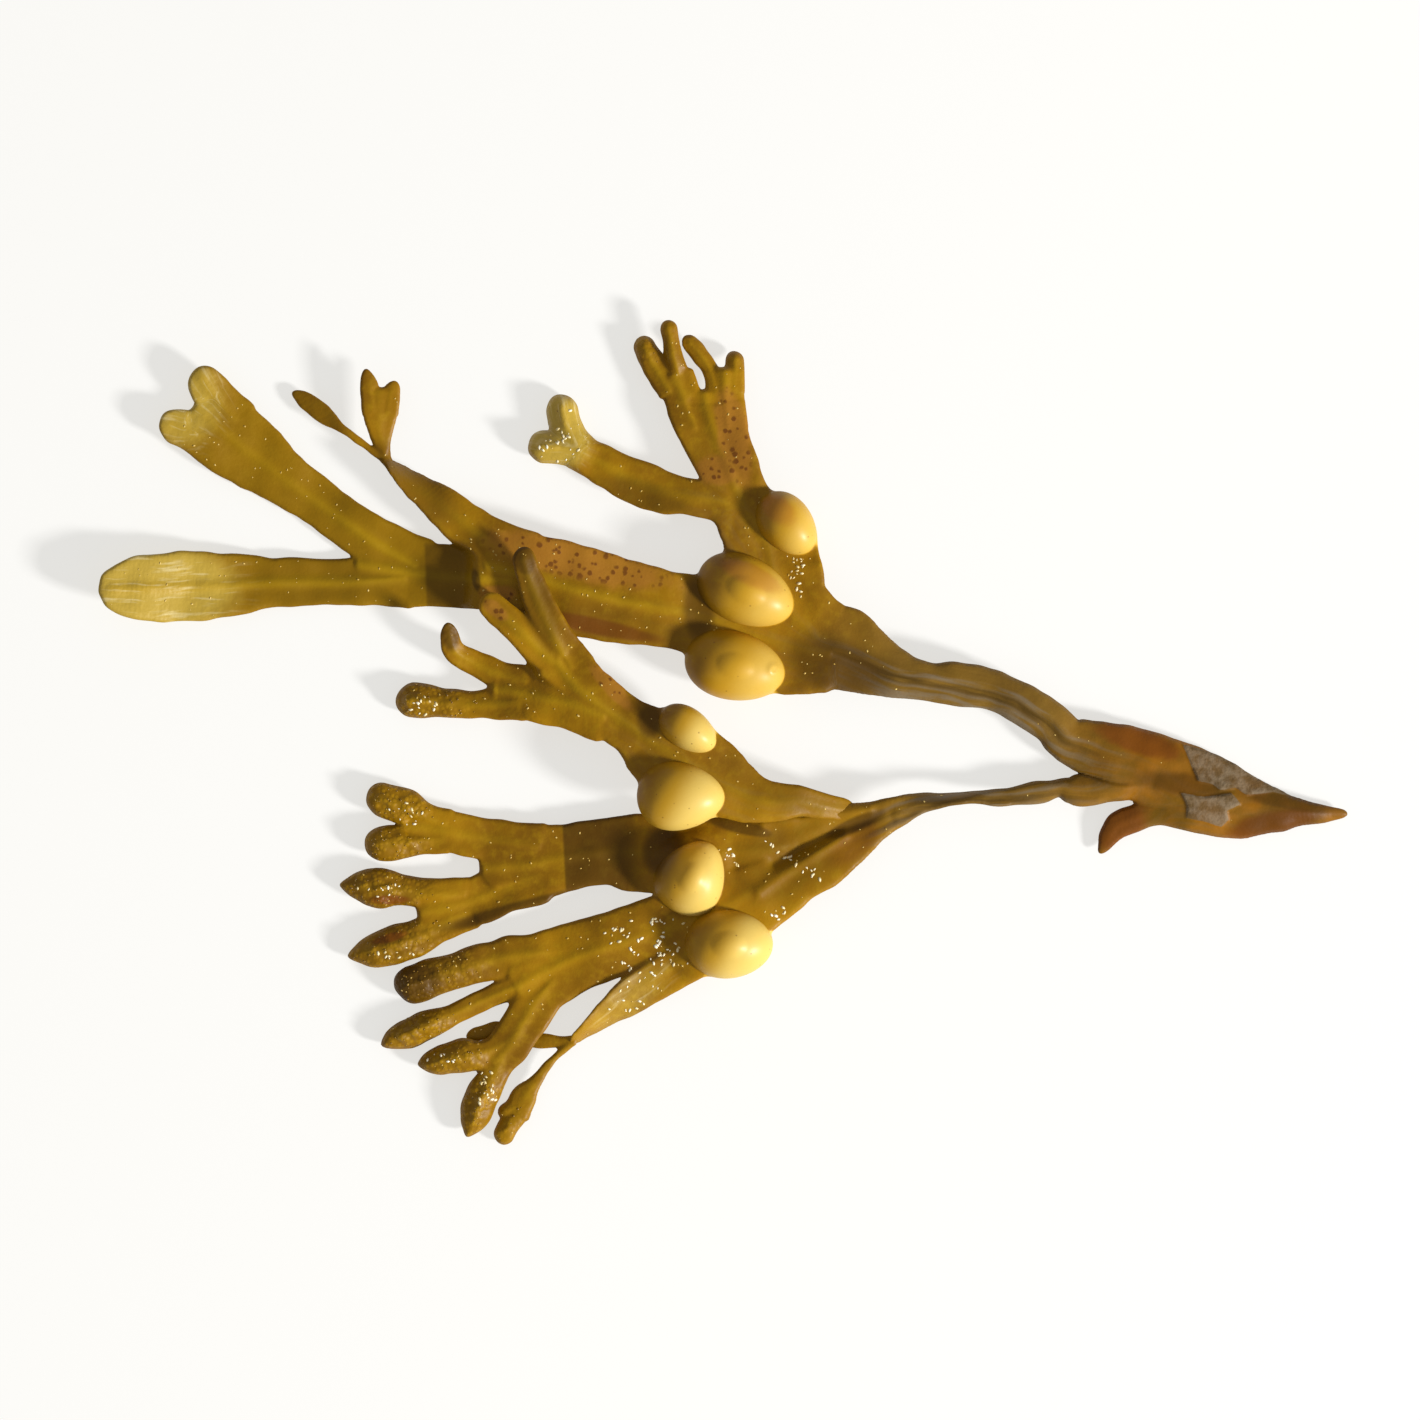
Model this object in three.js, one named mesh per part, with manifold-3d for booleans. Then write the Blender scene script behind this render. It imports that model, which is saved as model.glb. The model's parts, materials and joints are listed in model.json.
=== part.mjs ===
// A sprig of bladderwrack, a brown seaweed, lying on a flat surface.
// Millimetres, +Z up. The origin is on the surface under the middle of the sprig's box.
// The torn stipe points to +X and the forked blades spread towards -X.

import * as THREE from "three";
import { mergeVertices } from "three/addons/utils/BufferGeometryUtils.js";
import Module from "manifold-3d";

const wasm = await Module();
wasm.setup();

// Driving dimensions
const BLADE = 0.55; // half thickness of a leafy blade along its midrib
const SEAM = 0.3; // gap between two neighbouring pieces at a fork
const SIDES = 8; // facets round the section of a blade
const FACET_LENGTH = 3.2; // length of the facets along a blade
const TIP_RINGS = 2; // extra rings of facets where an end rounds off
const BLADDER_FACETS = [12, 8]; // facets round and along an air bladder
const GROUND = { side: 200, depth: 20 }; // block below the surface, which flattens what rests on it

const COLOURS = {
  stipe: 0x6f5326,
  stalk: 0x6a5433,
  blade: 0x80620a,
  spotted: 0x8a6212,
  yellow: 0x9a7d16,
  fork: 0x8c6c14,
  tips: 0x745a12,
};

// An end of a blade is one of these, or the length in which it rounds off to a tip.
const CUT = "cut"; // square across at a fork, half a seam short of its neighbour
const BURIED = "buried"; // square across, inside the piece that it grows from

// A path is a list of rows: x, y, z, half width, half thickness and roll in degrees.
// The last two may be left out, and are then BLADE and 0.

// Stipe and stalks

const stipePaths = {
  torn: [
    [62.6, -8.2, 0.9, 0.8, 0.6],
    [59.5, -8.2, 1.0, 1.0, 0.8],
    [56, -8.0, 1.1, 1.9, 1.1],
    [52, -7.4, 1.2, 3.15, 1.3],
    [48, -6.1, 1.3, 3.9, 1.4],
    [45, -5.0, 1.4, 4.0, 1.4],
    [41.5, -3.1, 1.5, 3.3, 1.35],
    [36.2, -1.38, 1.75, 2.6, 1.2],
  ],
  lowerFork: [
    [44, -5.0, 1.5, 2.2, 1.2],
    [39.5, -5.6, 1.6, 1.35, 1.05],
    [36, -5.85, 1.7, 1.65, 0.95],
  ],
  spur: [
    [47, -7.2, 1.3, 2.2, 1.1],
    [44, -7.6, 1.25, 1.65, 0.95],
    [41.5, -8.3, 1.15, 1.35, 0.85],
    [39.3, -9.5, 1.05, 1.1, 0.75],
    [37.8, -12.1, 0.85, 0.8, 0.5],
  ],
};

const upperStalkPath = [
  [36.2, -1.38, 1.75, 2.6, 1.2],
  [34.3, -0.77, 1.9, 2.3, 1.15],
  [32.6, 1.05, 2.1, 1.95, 1.1],
  [30, 2.6, 2.35, 1.9, 1.05],
  [27, 4.1, 2.6, 1.9, 1.0],
  [24, 4.7, 2.8, 2.0, 0.95],
  [20, 5.2, 3.0, 1.75, 0.9],
  [17, 6.1, 3.1, 2.4, 0.85],
  [14, 7.4, 3.1, 3.5, 0.75],
  [12, 8.2, 3.1, 4.2, 0.7],
];

const lowerStalkPath = [
  [36, -5.85, 1.7, 1.65, 0.95],
  [34.6, -5.85, 1.8, 1.35, 0.9],
  [33.5, -5.65, 1.8, 1.0, 0.9],
  [31.5, -6.05, 2.0, 1.1, 0.8],
  [28, -6.5, 2.3, 1.0, 0.7, 25],
  [24, -6.6, 2.7, 0.95, 0.6, 52],
  [20, -7.1, 3.0, 1.2, 0.6, 35],
  [17.5, -7.9, 3.1, 1.5, 0.65],
  [15.4, -8.8, 3.1, 2.0, 0.65],
];

// Upper frond

const upperForkPaths = {
  trunk: [
    [12, 8.2, 3.1, 4.2, 0.7],
    [9.6, 9.16, 3.1, 4.3, 0.65],
    [6.6, 12.2, 3.1, 4.2],
    [5.1, 15.8, 3.1, 4.8],
    [4.2, 19, 3.1, 4.7],
    [2.4, 21.8, 3.1, 3.3],
    [1.4, 24, 3.1, 2.9],
    [0.4, 26.5, 3.0, 3.05],
  ],
  toSpotted: [
    [10.5, 8.0, 3.1, 4.1, 0.65],
    [6.8, 8.6, 3.1, 4.8],
    [3, 9.8, 3.1, 5.0],
    [0, 11, 3.1, 4.3],
    [-4.6, 12.05, 3.1, 3.75],
  ],
  toClub: [
    [2.5, 22.2, 3.1, 2.6],
    [-0.6, 23.1, 3.0, 2.0],
    [-3.6, 23.55, 2.9, 1.85],
  ],
};

const upperBladders = [
  { at: [6.3, 20.8, 3.1], size: [3.6, 2.6, 2.8], turn: -49.5 },
  { at: [2.2, 14.1, 3.1], size: [5.1, 3.4, 3.4], turn: -25 },
  { at: [1.1, 6.6, 3.1], size: [5.1, 3.5, 3.35], turn: -6 },
];

const crownPaths = {
  trunk: [
    [0.4, 26.5, 3.0, 3.05],
    [-0.8, 29.5, 2.7, 3.4],
    [-1.7, 32.3, 2.4, 3.8],
    [-1.8, 32.9, 2.3, 3.6],
  ],
  leftFinger: [
    [-2.8, 30.5, 2.6, 2.0],
    [-3.9, 33, 2.4, 1.95],
    [-4.8, 35.5, 2.2, 1.85],
  ],
  rightFinger: [
    [0.3, 30.5, 2.6, 2.1],
    [0.1, 33.2, 2.3, 1.95],
    [0.05, 35.8, 2.1, 1.8],
  ],
  outerLeftTip: [
    [-5.4, 34.2, 2.2, 1.3],
    [-6.4, 35.9, 1.8, 1.3],
    [-7.6, 38, 1.2, 1.25, 0.95],
    [-8.4, 39.4, 1.0, 1.15, 1.0],
  ],
  innerLeftTip: [
    [-4.2, 34.4, 2.3, 1.1],
    [-4.9, 37.2, 2.4, 1.0, 0.7],
    [-5.8, 41.2, 2.5, 0.95, 0.75],
  ],
  innerRightTip: [
    [-0.8, 34, 2.2, 0.95],
    [-1.3, 36, 1.9, 0.85],
    [-2.2, 37.9, 1.6, 0.8, 0.65],
    [-3.2, 39.0, 1.4, 0.75, 0.7],
    [-4.1, 39.5, 1.3, 0.65, 0.6],
  ],
  outerRightTip: [
    [0.95, 34.2, 2.2, 1.0],
    [1.1, 36.4, 1.6, 0.95, 0.7],
    [1.1, 38.2, 1.0, 0.9, 0.9],
  ],
};

const clubPaths = {
  arm: [
    [-3.6, 23.55, 2.9, 1.85],
    [-6, 24.0, 2.6, 2.15],
    [-9, 25.1, 2.3, 2.25],
    [-12, 26.65, 2.0, 2.0],
    [-14.6, 28.1, 1.7, 1.75, 1.0],
  ],
  upperLobe: [
    [-14.4, 28.2, 1.7, 1.6, 1.0],
    [-15.8, 30.6, 1.5, 1.65, 1.3],
    [-16.5, 33.9, 1.3, 1.5, 1.2],
  ],
  lowerLobe: [
    [-14.6, 28.2, 1.7, 1.7, 1.0],
    [-17, 28.5, 1.4, 1.7, 1.4],
    [-19.6, 28.65, 1.3, 1.6, 1.3],
  ],
};

const spottedPaths = {
  blade: [
    [-4.6, 12.05, 3.1, 3.75],
    [-10, 13.05, 3.2, 4.15],
    [-14, 14.0, 3.4, 4.5],
    [-18, 15.1, 3.5, 4.5],
    [-21.5, 16.1, 3.6, 4.4],
    [-23.2, 16.6, 3.6, 4.1],
  ],
  foldedEdge: [
    [-20, 14.9, 3.6, 3.6],
    [-23, 15.3, 3.5, 3.3],
    [-24.9, 15.4, 3.2, 3.1],
  ],
  toTwig: [
    [-20.5, 17, 3.6, 3.2],
    [-23.5, 19, 3.6, 2.6],
    [-26.2, 21.1, 3.3, 2.1],
  ],
};

const twigPaths = {
  stem: [
    [-26.2, 21.1, 3.3, 2.1],
    [-28.2, 22.65, 3.1, 1.8, 0.5, 8],
    [-30.5, 24.3, 2.8, 1.45, 0.45, 30],
    [-32.5, 26, 2.6, 1.2, 0.4, 58],
    [-34, 27.3, 2.4, 0.8, 0.4, 72],
  ],
  thread: [
    [-33.6, 27, 2.4, 0.5, 0.35, 60],
    [-37, 29.5, 2.1, 0.35, 0.3, 20],
    [-38.6, 30.7, 1.9, 0.45, 0.3],
    [-40.4, 31.9, 1.5, 1.05, 0.35],
    [-43.2, 34.1, 0.9, 0.75, 0.3],
  ],
  leaflet: [
    [-33.8, 27.3, 2.4, 0.5, 0.35],
    [-34.3, 29.3, 2.5, 1.05, 0.4],
    [-34.4, 31.5, 2.7, 1.6, 0.4],
    [-34.4, 33.8, 2.9, 1.75, 0.4],
  ],
  leafletLeft: [
    [-35, 32, 2.8, 1.1, 0.4],
    [-35.4, 34.3, 3.0, 0.95, 0.4],
    [-35.8, 36.3, 3.2, 0.65, 0.35],
  ],
  leafletRight: [
    [-33.7, 32, 2.8, 1.1, 0.4],
    [-33.4, 33.6, 2.9, 0.95, 0.4],
    [-32.9, 35.1, 3.0, 0.6, 0.35],
  ],
};

const roundBladePaths = {
  base: [
    [-24.9, 15.4, 2.6, 3.1],
    [-26.2, 15.5, 1.5, 3.1],
    [-28.5, 15.65, 1.1, 3.1],
    [-31.5, 16, 0.9, 3.4],
    [-36, 16.7, 0.8, 3.3],
  ],
  lobe: [
    [-32, 15.5, 0.9, 2.9],
    [-37.5, 15.1, 0.75, 2.35],
    [-42, 15.05, 0.75, 2.35],
    [-46, 14.95, 0.9, 2.6],
    [-50, 14.7, 1.2, 3.3],
    [-54, 14.55, 1.8, 3.65],
    [-58, 14.4, 2.6, 3.5],
    [-62.6, 14.3, 3.9, 3.3],
  ],
  toNotched: [
    [-31, 16.6, 0.9, 3.0],
    [-35, 19.0, 0.85, 2.6],
    [-38.6, 21.5, 0.8, 2.3],
  ],
};

const notchedBladePaths = {
  blade: [
    [-38.6, 21.5, 0.8, 2.3],
    [-41.4, 23.5, 0.8, 2.45],
    [-44.4, 25.7, 0.9, 2.85],
    [-47, 27.7, 1.1, 3.45],
    [-49.6, 29.6, 1.4, 3.85],
    [-52.1, 31.7, 1.8, 3.6],
  ],
  upperLobe: [
    [-49, 31.2, 1.4, 2.4],
    [-51.2, 33.7, 1.9, 2.05],
    [-53, 36.6, 2.5, 1.75],
  ],
  lowerLobe: [
    [-50.6, 29, 1.5, 2.4],
    [-53.2, 30.1, 1.9, 2.1],
    [-56.4, 31.2, 2.3, 1.7],
  ],
};

// Raised frond, which crosses over its neighbours

const raisedForkPath = [
  [13.3, -7.9, 4.4, 0.6, 0.4],
  [10, -7.3, 4.6, 0.9, 0.45],
  [7.5, -6.9, 4.75, 1.5, 0.5],
  [4, -6.9, 4.95, 2.2],
  [1, -5.8, 5.05, 3.2],
  [-2, -3.9, 5.1, 3.9],
  [-6.2, -1.6, 5.0, 4.1],
  [-9, 0.4, 4.8, 2.8],
];

const raisedBladders = [
  { at: [-3.6, 0.3, 5.2], size: [3.2, 2.2, 2.5], turn: -34 },
  { at: [-4.3, -6.4, 5.2], size: [4.4, 3.4, 3.1], turn: -2 },
];

const crossingPaths = {
  blade: [
    [-9, 0.4, 4.8, 2.8],
    [-12, 2.4, 4.5, 2.9],
    [-14.8, 4.6, 4.4, 3.2],
    [-16.5, 6.8, 4.4, 3.0],
  ],
  longFinger: [
    [-15.3, 6.4, 4.4, 2.3],
    [-17.1, 9.8, 4.7, 1.85],
    [-18.5, 13, 5.3, 1.55],
    [-19.6, 16, 5.8, 1.3],
    [-20.2, 18.4, 5.9, 1.15],
  ],
  shortFinger: [
    [-16.6, 6.6, 4.4, 2.0],
    [-18.6, 8.5, 4.4, 1.8],
    [-20.5, 10.3, 4.6, 1.6],
    [-22.5, 12, 4.8, 1.4],
    [-24.3, 13.4, 4.9, 1.2],
  ],
  toCurled: [
    [-12, 1.6, 4.5, 2.5],
    [-15.3, 2.9, 4.0, 2.5],
    [-18.2, 3.5, 3.4, 2.45],
  ],
};

const curledPaths = {
  blade: [
    [-18.2, 3.5, 3.4, 2.45],
    [-20.6, 4.0, 2.8, 2.4],
    [-22.6, 4.3, 2.4, 2.2],
  ],
  lowTip: [
    [-20.5, 3.1, 2.8, 1.8],
    [-22.5, 2.85, 2.3, 1.65],
    [-25, 2.75, 1.9, 1.4, 0.7],
    [-28, 2.95, 1.45, 1.5, 1.0],
    [-30.5, 3.15, 1.2, 1.75, 1.3],
    [-32.9, 3.35, 1.1, 1.55, 1.2],
  ],
  hookedTip: [
    [-19.8, 5, 2.9, 1.5],
    [-22.5, 6, 2.4, 1.15],
    [-25, 7.2, 2.3, 0.95],
    [-27, 8.3, 2.9, 1.0, 0.5],
    [-27.6, 11.1, 4.6, 0.75, 0.4],
  ],
};

// Lower frond

const lowerForkPaths = {
  trunk: [
    [15.4, -8.8, 3.1, 2.0, 0.65],
    [13.3, -9.7, 3.0, 2.6, 0.6],
    [10, -11.6, 3.0, 3.7, 0.6],
    [6.5, -13.5, 3.0, 4.3],
    [3.5, -15.4, 3.0, 4.6],
    [0, -17.4, 3.0, 4.8],
    [-4, -19, 2.8, 4.3],
  ],
  toMiddle: [
    [7, -11.5, 3.0, 3.4],
    [1, -12, 2.7, 3.8],
    [-4, -12.2, 2.2, 3.9],
    [-8.8, -12.1, 1.9, 3.9],
  ],
  toFan: [
    [0, -18, 2.9, 4.2],
    [-5.5, -19.6, 2.6, 3.6],
    [-10.8, -21.2, 2.3, 3.3],
  ],
  toSlender: [
    [-1, -20.5, 2.9, 3.0],
    [-5.6, -23.5, 2.6, 2.5, 0.5, 15],
    [-9.6, -26.5, 2.2, 1.95, 0.5, 30],
  ],
};

const lowerBladders = [
  { at: [-3.2, -14.5, 3.0], size: [3.9, 3.4, 3.3], turn: 60 },
  { at: [0.5, -21.2, 3.1], size: [4.4, 3.45, 3.4], turn: 0 },
];

const middlePaths = {
  blade: [
    [-8.8, -12.1, 1.9, 3.9],
    [-12, -12.0, 1.8, 3.3],
    [-16, -12.6, 1.7, 3.35],
    [-19.5, -13.3, 1.6, 3.95],
    [-22.8, -13.6, 1.6, 4.3],
  ],
  upperArm: [
    [-18.5, -11.5, 1.7, 2.2],
    [-22.5, -11.0, 1.5, 2.15],
    [-26, -10.3, 1.45, 2.1],
    [-31.5, -9.4, 1.35, 1.8],
  ],
  lowerArm: [
    [-18.5, -14.4, 1.7, 2.5],
    [-22, -15.5, 1.55, 2.4],
    [-25.5, -17, 1.45, 2.3],
    [-30, -18.1, 1.4, 1.9],
  ],
  firstTip: [
    [-28, -9.3, 1.4, 1.4, 0.6],
    [-30.2, -8.5, 1.35, 1.5, 0.9],
    [-32.2, -7.4, 1.25, 1.75, 1.25],
    [-35.8, -6.3, 1.15, 1.55, 1.2],
  ],
  secondTip: [
    [-28, -10.6, 1.4, 1.3, 0.6],
    [-30.5, -10.9, 1.3, 1.4, 0.9],
    [-33, -11.1, 1.2, 1.7, 1.25],
    [-36, -11.2, 1.15, 1.55, 1.15],
  ],
  thirdTip: [
    [-26, -16.4, 1.45, 1.6, 0.6],
    [-29, -16.2, 1.35, 1.6, 0.75],
    [-32, -15.9, 1.25, 1.55, 1.0],
    [-34.5, -15.6, 1.2, 1.95, 1.3],
    [-38.6, -15.3, 1.1, 1.3, 1.0],
  ],
  fourthTip: [
    [-25.5, -18, 1.45, 1.7, 0.6],
    [-27.5, -18.9, 1.4, 1.65, 0.7],
    [-30.2, -20.3, 1.3, 1.7, 0.9],
    [-33.1, -21.4, 1.2, 1.9, 1.3],
    [-37.7, -22.5, 1.1, 1.3, 1.0],
  ],
};

const fanPaths = {
  blade: [
    [-10.8, -21.2, 2.3, 3.3],
    [-14.5, -22.4, 2.0, 3.45],
    [-17.5, -23.8, 1.8, 3.6],
    [-20.2, -25.2, 1.7, 3.0],
  ],
  lowerArm: [
    [-17, -24.6, 1.8, 2.4],
    [-18.8, -27, 1.8, 2.3],
    [-20.2, -29.3, 1.9, 2.15],
    [-21.5, -31.5, 1.7, 2.0],
    [-22.9, -33, 1.5, 1.6],
  ],
  firstTip: [
    [-16, -21.9, 1.9, 2.0],
    [-21, -22.5, 1.6, 1.95],
    [-25, -23.4, 1.4, 1.8, 0.8],
    [-28, -24.2, 1.3, 1.8, 1.1],
    [-30.5, -25.1, 1.25, 2.0, 1.35],
    [-33, -25.6, 1.2, 1.7, 1.25],
  ],
  secondTip: [
    [-19.5, -25, 1.7, 1.2],
    [-23.5, -26.6, 1.45, 1.05],
    [-27, -28.2, 1.25, 1.05, 0.7],
    [-30, -29.5, 1.15, 1.5, 1.2],
    [-34.4, -31.4, 1.05, 1.3, 1.0],
  ],
  thirdTip: [
    [-21.5, -31, 1.7, 1.4],
    [-24, -32.2, 1.4, 1.4, 0.8],
    [-26.5, -32.5, 1.25, 1.65, 1.3],
    [-30.8, -33.4, 1.1, 1.3, 1.0],
  ],
  fourthTip: [
    [-22, -32, 1.6, 1.4],
    [-23.1, -34.5, 1.35, 1.4, 0.8],
    [-24.2, -36.5, 1.25, 1.75, 1.3],
    [-25.7, -40.6, 1.1, 1.3, 1.0],
  ],
};

const slenderPaths = {
  blade: [
    [-9.6, -26.5, 2.2, 1.95, 0.5, 30],
    [-11.8, -28.2, 1.8, 1.7, 0.45, 48],
    [-13.7, -29.8, 1.5, 1.2, 0.4, 65],
    [-15.3, -31, 1.3, 0.8, 0.35, 70],
  ],
  tuckedTip: [
    [-14.9, -30.8, 1.3, 0.45, 0.35],
    [-17, -31.05, 0.85, 0.65, 0.35],
    [-20, -30.8, 0.55, 0.8, 0.35],
    [-22.5, -29.95, 0.55, 0.85, 0.4],
    [-25.7, -30.5, 0.6, 0.7, 0.4],
  ],
  thread: [
    [-15.2, -31, 1.3, 0.4, 0.35],
    [-17.5, -33.2, 1.1, 0.35, 0.3],
    [-18.5, -34.5, 1.0, 0.45, 0.35],
    [-19.7, -36.5, 0.95, 1.1, 0.6],
    [-20.8, -38.2, 0.9, 1.3, 0.8],
  ],
  longLobe: [
    [-20.4, -37.8, 0.9, 1.0, 0.8],
    [-21.6, -39.5, 0.85, 1.05, 0.9],
    [-22.5, -41.2, 0.8, 0.85, 0.8],
  ],
  shortLobe: [
    [-20.5, -37.5, 0.9, 0.9, 0.8],
    [-21.6, -37.9, 0.85, 0.85, 0.85],
    [-22.7, -38.3, 0.8, 0.7, 0.75],
  ],
};

// Geometry

// Share of the full section left at a distance from an end that rounds off over a length.
function roundedEnd(distance, length) {
  const inside = THREE.MathUtils.clamp(1 - distance / length, 0, 1);
  return Math.sqrt(1 - inside * inside);
}

const TIP_SHARE = 0.04; // a tip stops at this share of its section, so its end facet has a size

// A flattened tube along a path, made by bending a cylinder over it.
function blade(rows, start, end) {
  const line = new THREE.CatmullRomCurve3(
    rows.map(([x, y, z]) => new THREE.Vector3(x, y, z)),
    false,
    "catmullrom",
  );
  const section = new THREE.CatmullRomCurve3(
    rows.map(([, , , width, thickness = BLADE, roll = 0]) => new THREE.Vector3(width, thickness, roll)),
    false,
    "catmullrom",
  );
  const rounds = (side) => typeof side === "number";
  const rings = Math.round(line.getLength() / FACET_LENGTH) + TIP_RINGS * (rounds(start) + rounds(end));
  const geometry = new THREE.CylinderGeometry(1, 1, 1, SIDES, rings);
  const position = geometry.getAttribute("position");
  const first = line.getPoint(0);
  const last = line.getPoint(1);
  for (let i = 0; i < position.count; i++) {
    const along = closerToTips(0.5 - position.getY(i), start, end);
    const centre = line.getPoint(along);
    const tangent = line.getTangent(along);
    const { x: width, y: thickness, z: roll } = section.getPoint(along);
    const side = new THREE.Vector3(0, 0, 1).cross(tangent).normalize();
    const normal = tangent.clone().cross(side);
    const turn = THREE.MathUtils.degToRad(roll);
    const share = Math.max(
      TIP_SHARE,
      (rounds(start) ? roundedEnd(centre.distanceTo(first), start) : 1) *
        (rounds(end) ? roundedEnd(centre.distanceTo(last), end) : 1),
    );
    const across = position.getX(i) * width * share;
    const up = position.getZ(i) * thickness * share;
    centre
      .addScaledVector(side, across * Math.cos(turn) - up * Math.sin(turn))
      .addScaledVector(normal, across * Math.sin(turn) + up * Math.cos(turn));
    if (start === CUT && along === 0) centre.addScaledVector(tangent, SEAM / 2);
    if (end === CUT && along === 1) centre.addScaledVector(tangent, -SEAM / 2);
    position.setXYZ(i, centre.x, centre.y, centre.z);
  }
  return geometry;
}

// Spreads evenly spaced rings so that they crowd towards the ends that round off.
function closerToTips(share, start, end) {
  const eased = Math.sin((share * Math.PI) / 2);
  if (typeof end === "number" && typeof start !== "number") return (share + eased) / 2;
  if (typeof start === "number" && typeof end !== "number") {
    return (share + 1 - Math.cos((share * Math.PI) / 2)) / 2;
  }
  return share;
}

// An egg-shaped air bladder with its long axis turned about the vertical.
function bladder({ at, size, turn }) {
  return new THREE.SphereGeometry(1, ...BLADDER_FACETS)
    .rotateX(Math.PI / 2)
    .scale(...size)
    .rotateZ(THREE.MathUtils.degToRad(turn))
    .translate(...at);
}

// Solids

function solidOf(geometry) {
  const bare = new THREE.BufferGeometry()
    .setAttribute("position", geometry.getAttribute("position"))
    .setIndex(geometry.getIndex());
  const merged = mergeVertices(bare, 1e-4);
  return new wasm.Manifold(
    new wasm.Mesh({
      numProp: 3,
      vertProperties: merged.getAttribute("position").array,
      triVerts: new Uint32Array(merged.getIndex().array),
    }),
  );
}

const ground = solidOf(
  new THREE.BoxGeometry(GROUND.side, GROUND.side, GROUND.depth).translate(0, 0, -GROUND.depth / 2),
);

const sprig = new THREE.Group();

// Joins the geometries of one piece, flattens what would sink below the surface, and adds it to the sprig.
function addPiece(name, colour, ...geometries) {
  const joined = geometries.map(solidOf).reduce((whole, more) => whole.add(more));
  const { vertProperties, triVerts } = joined.subtract(ground).getMesh();
  const geometry = new THREE.BufferGeometry()
    .setAttribute("position", new THREE.BufferAttribute(vertProperties, 3))
    .setIndex(new THREE.BufferAttribute(triVerts, 1));
  geometry.computeVertexNormals();
  const material = new THREE.MeshStandardMaterial({ color: COLOURS[colour], roughness: 0.35, metalness: 0 });
  const mesh = new THREE.Mesh(geometry, material);
  mesh.name = name;
  sprig.add(mesh);
}

// Pieces

addPiece(
  "stipe",
  "stipe",
  blade(stipePaths.torn, 3, CUT),
  blade(stipePaths.lowerFork, BURIED, CUT),
  blade(stipePaths.spur, BURIED, 2.5),
);
addPiece("upper_stalk", "stalk", blade(upperStalkPath, CUT, CUT));
addPiece("lower_stalk", "stalk", blade(lowerStalkPath, CUT, CUT));

addPiece(
  "upper_fork",
  "fork",
  blade(upperForkPaths.trunk, CUT, CUT),
  blade(upperForkPaths.toSpotted, BURIED, CUT),
  blade(upperForkPaths.toClub, BURIED, CUT),
  ...upperBladders.map(bladder),
);
addPiece(
  "crown_branch",
  "blade",
  blade(crownPaths.trunk, CUT, BURIED),
  blade(crownPaths.leftFinger, BURIED, BURIED),
  blade(crownPaths.rightFinger, BURIED, BURIED),
  blade(crownPaths.outerLeftTip, BURIED, 1.2),
  blade(crownPaths.innerLeftTip, BURIED, 1),
  blade(crownPaths.innerRightTip, BURIED, 0.8),
  blade(crownPaths.outerRightTip, BURIED, 1),
);
addPiece(
  "club_branch",
  "blade",
  blade(clubPaths.arm, CUT, BURIED),
  blade(clubPaths.upperLobe, BURIED, 1.6),
  blade(clubPaths.lowerLobe, BURIED, 1.6),
);
addPiece(
  "spotted_branch",
  "spotted",
  blade(spottedPaths.blade, CUT, BURIED),
  blade(spottedPaths.foldedEdge, BURIED, CUT),
  blade(spottedPaths.toTwig, BURIED, CUT),
);
addPiece(
  "twisted_twig",
  "blade",
  blade(twigPaths.stem, CUT, BURIED),
  blade(twigPaths.thread, BURIED, 1.8),
  blade(twigPaths.leaflet, BURIED, BURIED),
  blade(twigPaths.leafletLeft, BURIED, 1.6),
  blade(twigPaths.leafletRight, BURIED, 1),
);
addPiece(
  "round_blade",
  "yellow",
  blade(roundBladePaths.base, CUT, BURIED),
  blade(roundBladePaths.lobe, BURIED, 3.6),
  blade(roundBladePaths.toNotched, BURIED, CUT),
);
addPiece(
  "notched_blade",
  "yellow",
  blade(notchedBladePaths.blade, CUT, BURIED),
  blade(notchedBladePaths.upperLobe, BURIED, 1.8),
  blade(notchedBladePaths.lowerLobe, BURIED, 1.8),
);

addPiece("raised_fork", "fork", blade(raisedForkPath, CUT, CUT), ...raisedBladders.map(bladder));
addPiece(
  "crossing_branch",
  "blade",
  blade(crossingPaths.blade, CUT, BURIED),
  blade(crossingPaths.longFinger, BURIED, 1.4),
  blade(crossingPaths.shortFinger, BURIED, 1.4),
  blade(crossingPaths.toCurled, BURIED, CUT),
);
addPiece(
  "curled_branch",
  "tips",
  blade(curledPaths.blade, CUT, BURIED),
  blade(curledPaths.lowTip, BURIED, 1.6),
  blade(curledPaths.hookedTip, BURIED, 1.6),
);

addPiece(
  "lower_fork",
  "fork",
  blade(lowerForkPaths.trunk, CUT, BURIED),
  blade(lowerForkPaths.toMiddle, BURIED, CUT),
  blade(lowerForkPaths.toFan, BURIED, CUT),
  blade(lowerForkPaths.toSlender, BURIED, CUT),
  ...lowerBladders.map(bladder),
);
addPiece(
  "middle_branch",
  "tips",
  blade(middlePaths.blade, CUT, BURIED),
  blade(middlePaths.upperArm, BURIED, BURIED),
  blade(middlePaths.lowerArm, BURIED, BURIED),
  blade(middlePaths.firstTip, BURIED, 1.6),
  blade(middlePaths.secondTip, BURIED, 1.6),
  blade(middlePaths.thirdTip, BURIED, 1.6),
  blade(middlePaths.fourthTip, BURIED, 1.6),
);
addPiece(
  "fan_branch",
  "tips",
  blade(fanPaths.blade, CUT, BURIED),
  blade(fanPaths.lowerArm, BURIED, BURIED),
  blade(fanPaths.firstTip, BURIED, 1.8),
  blade(fanPaths.secondTip, BURIED, 2),
  blade(fanPaths.thirdTip, BURIED, 1.8),
  blade(fanPaths.fourthTip, BURIED, 2.4),
);
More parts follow.
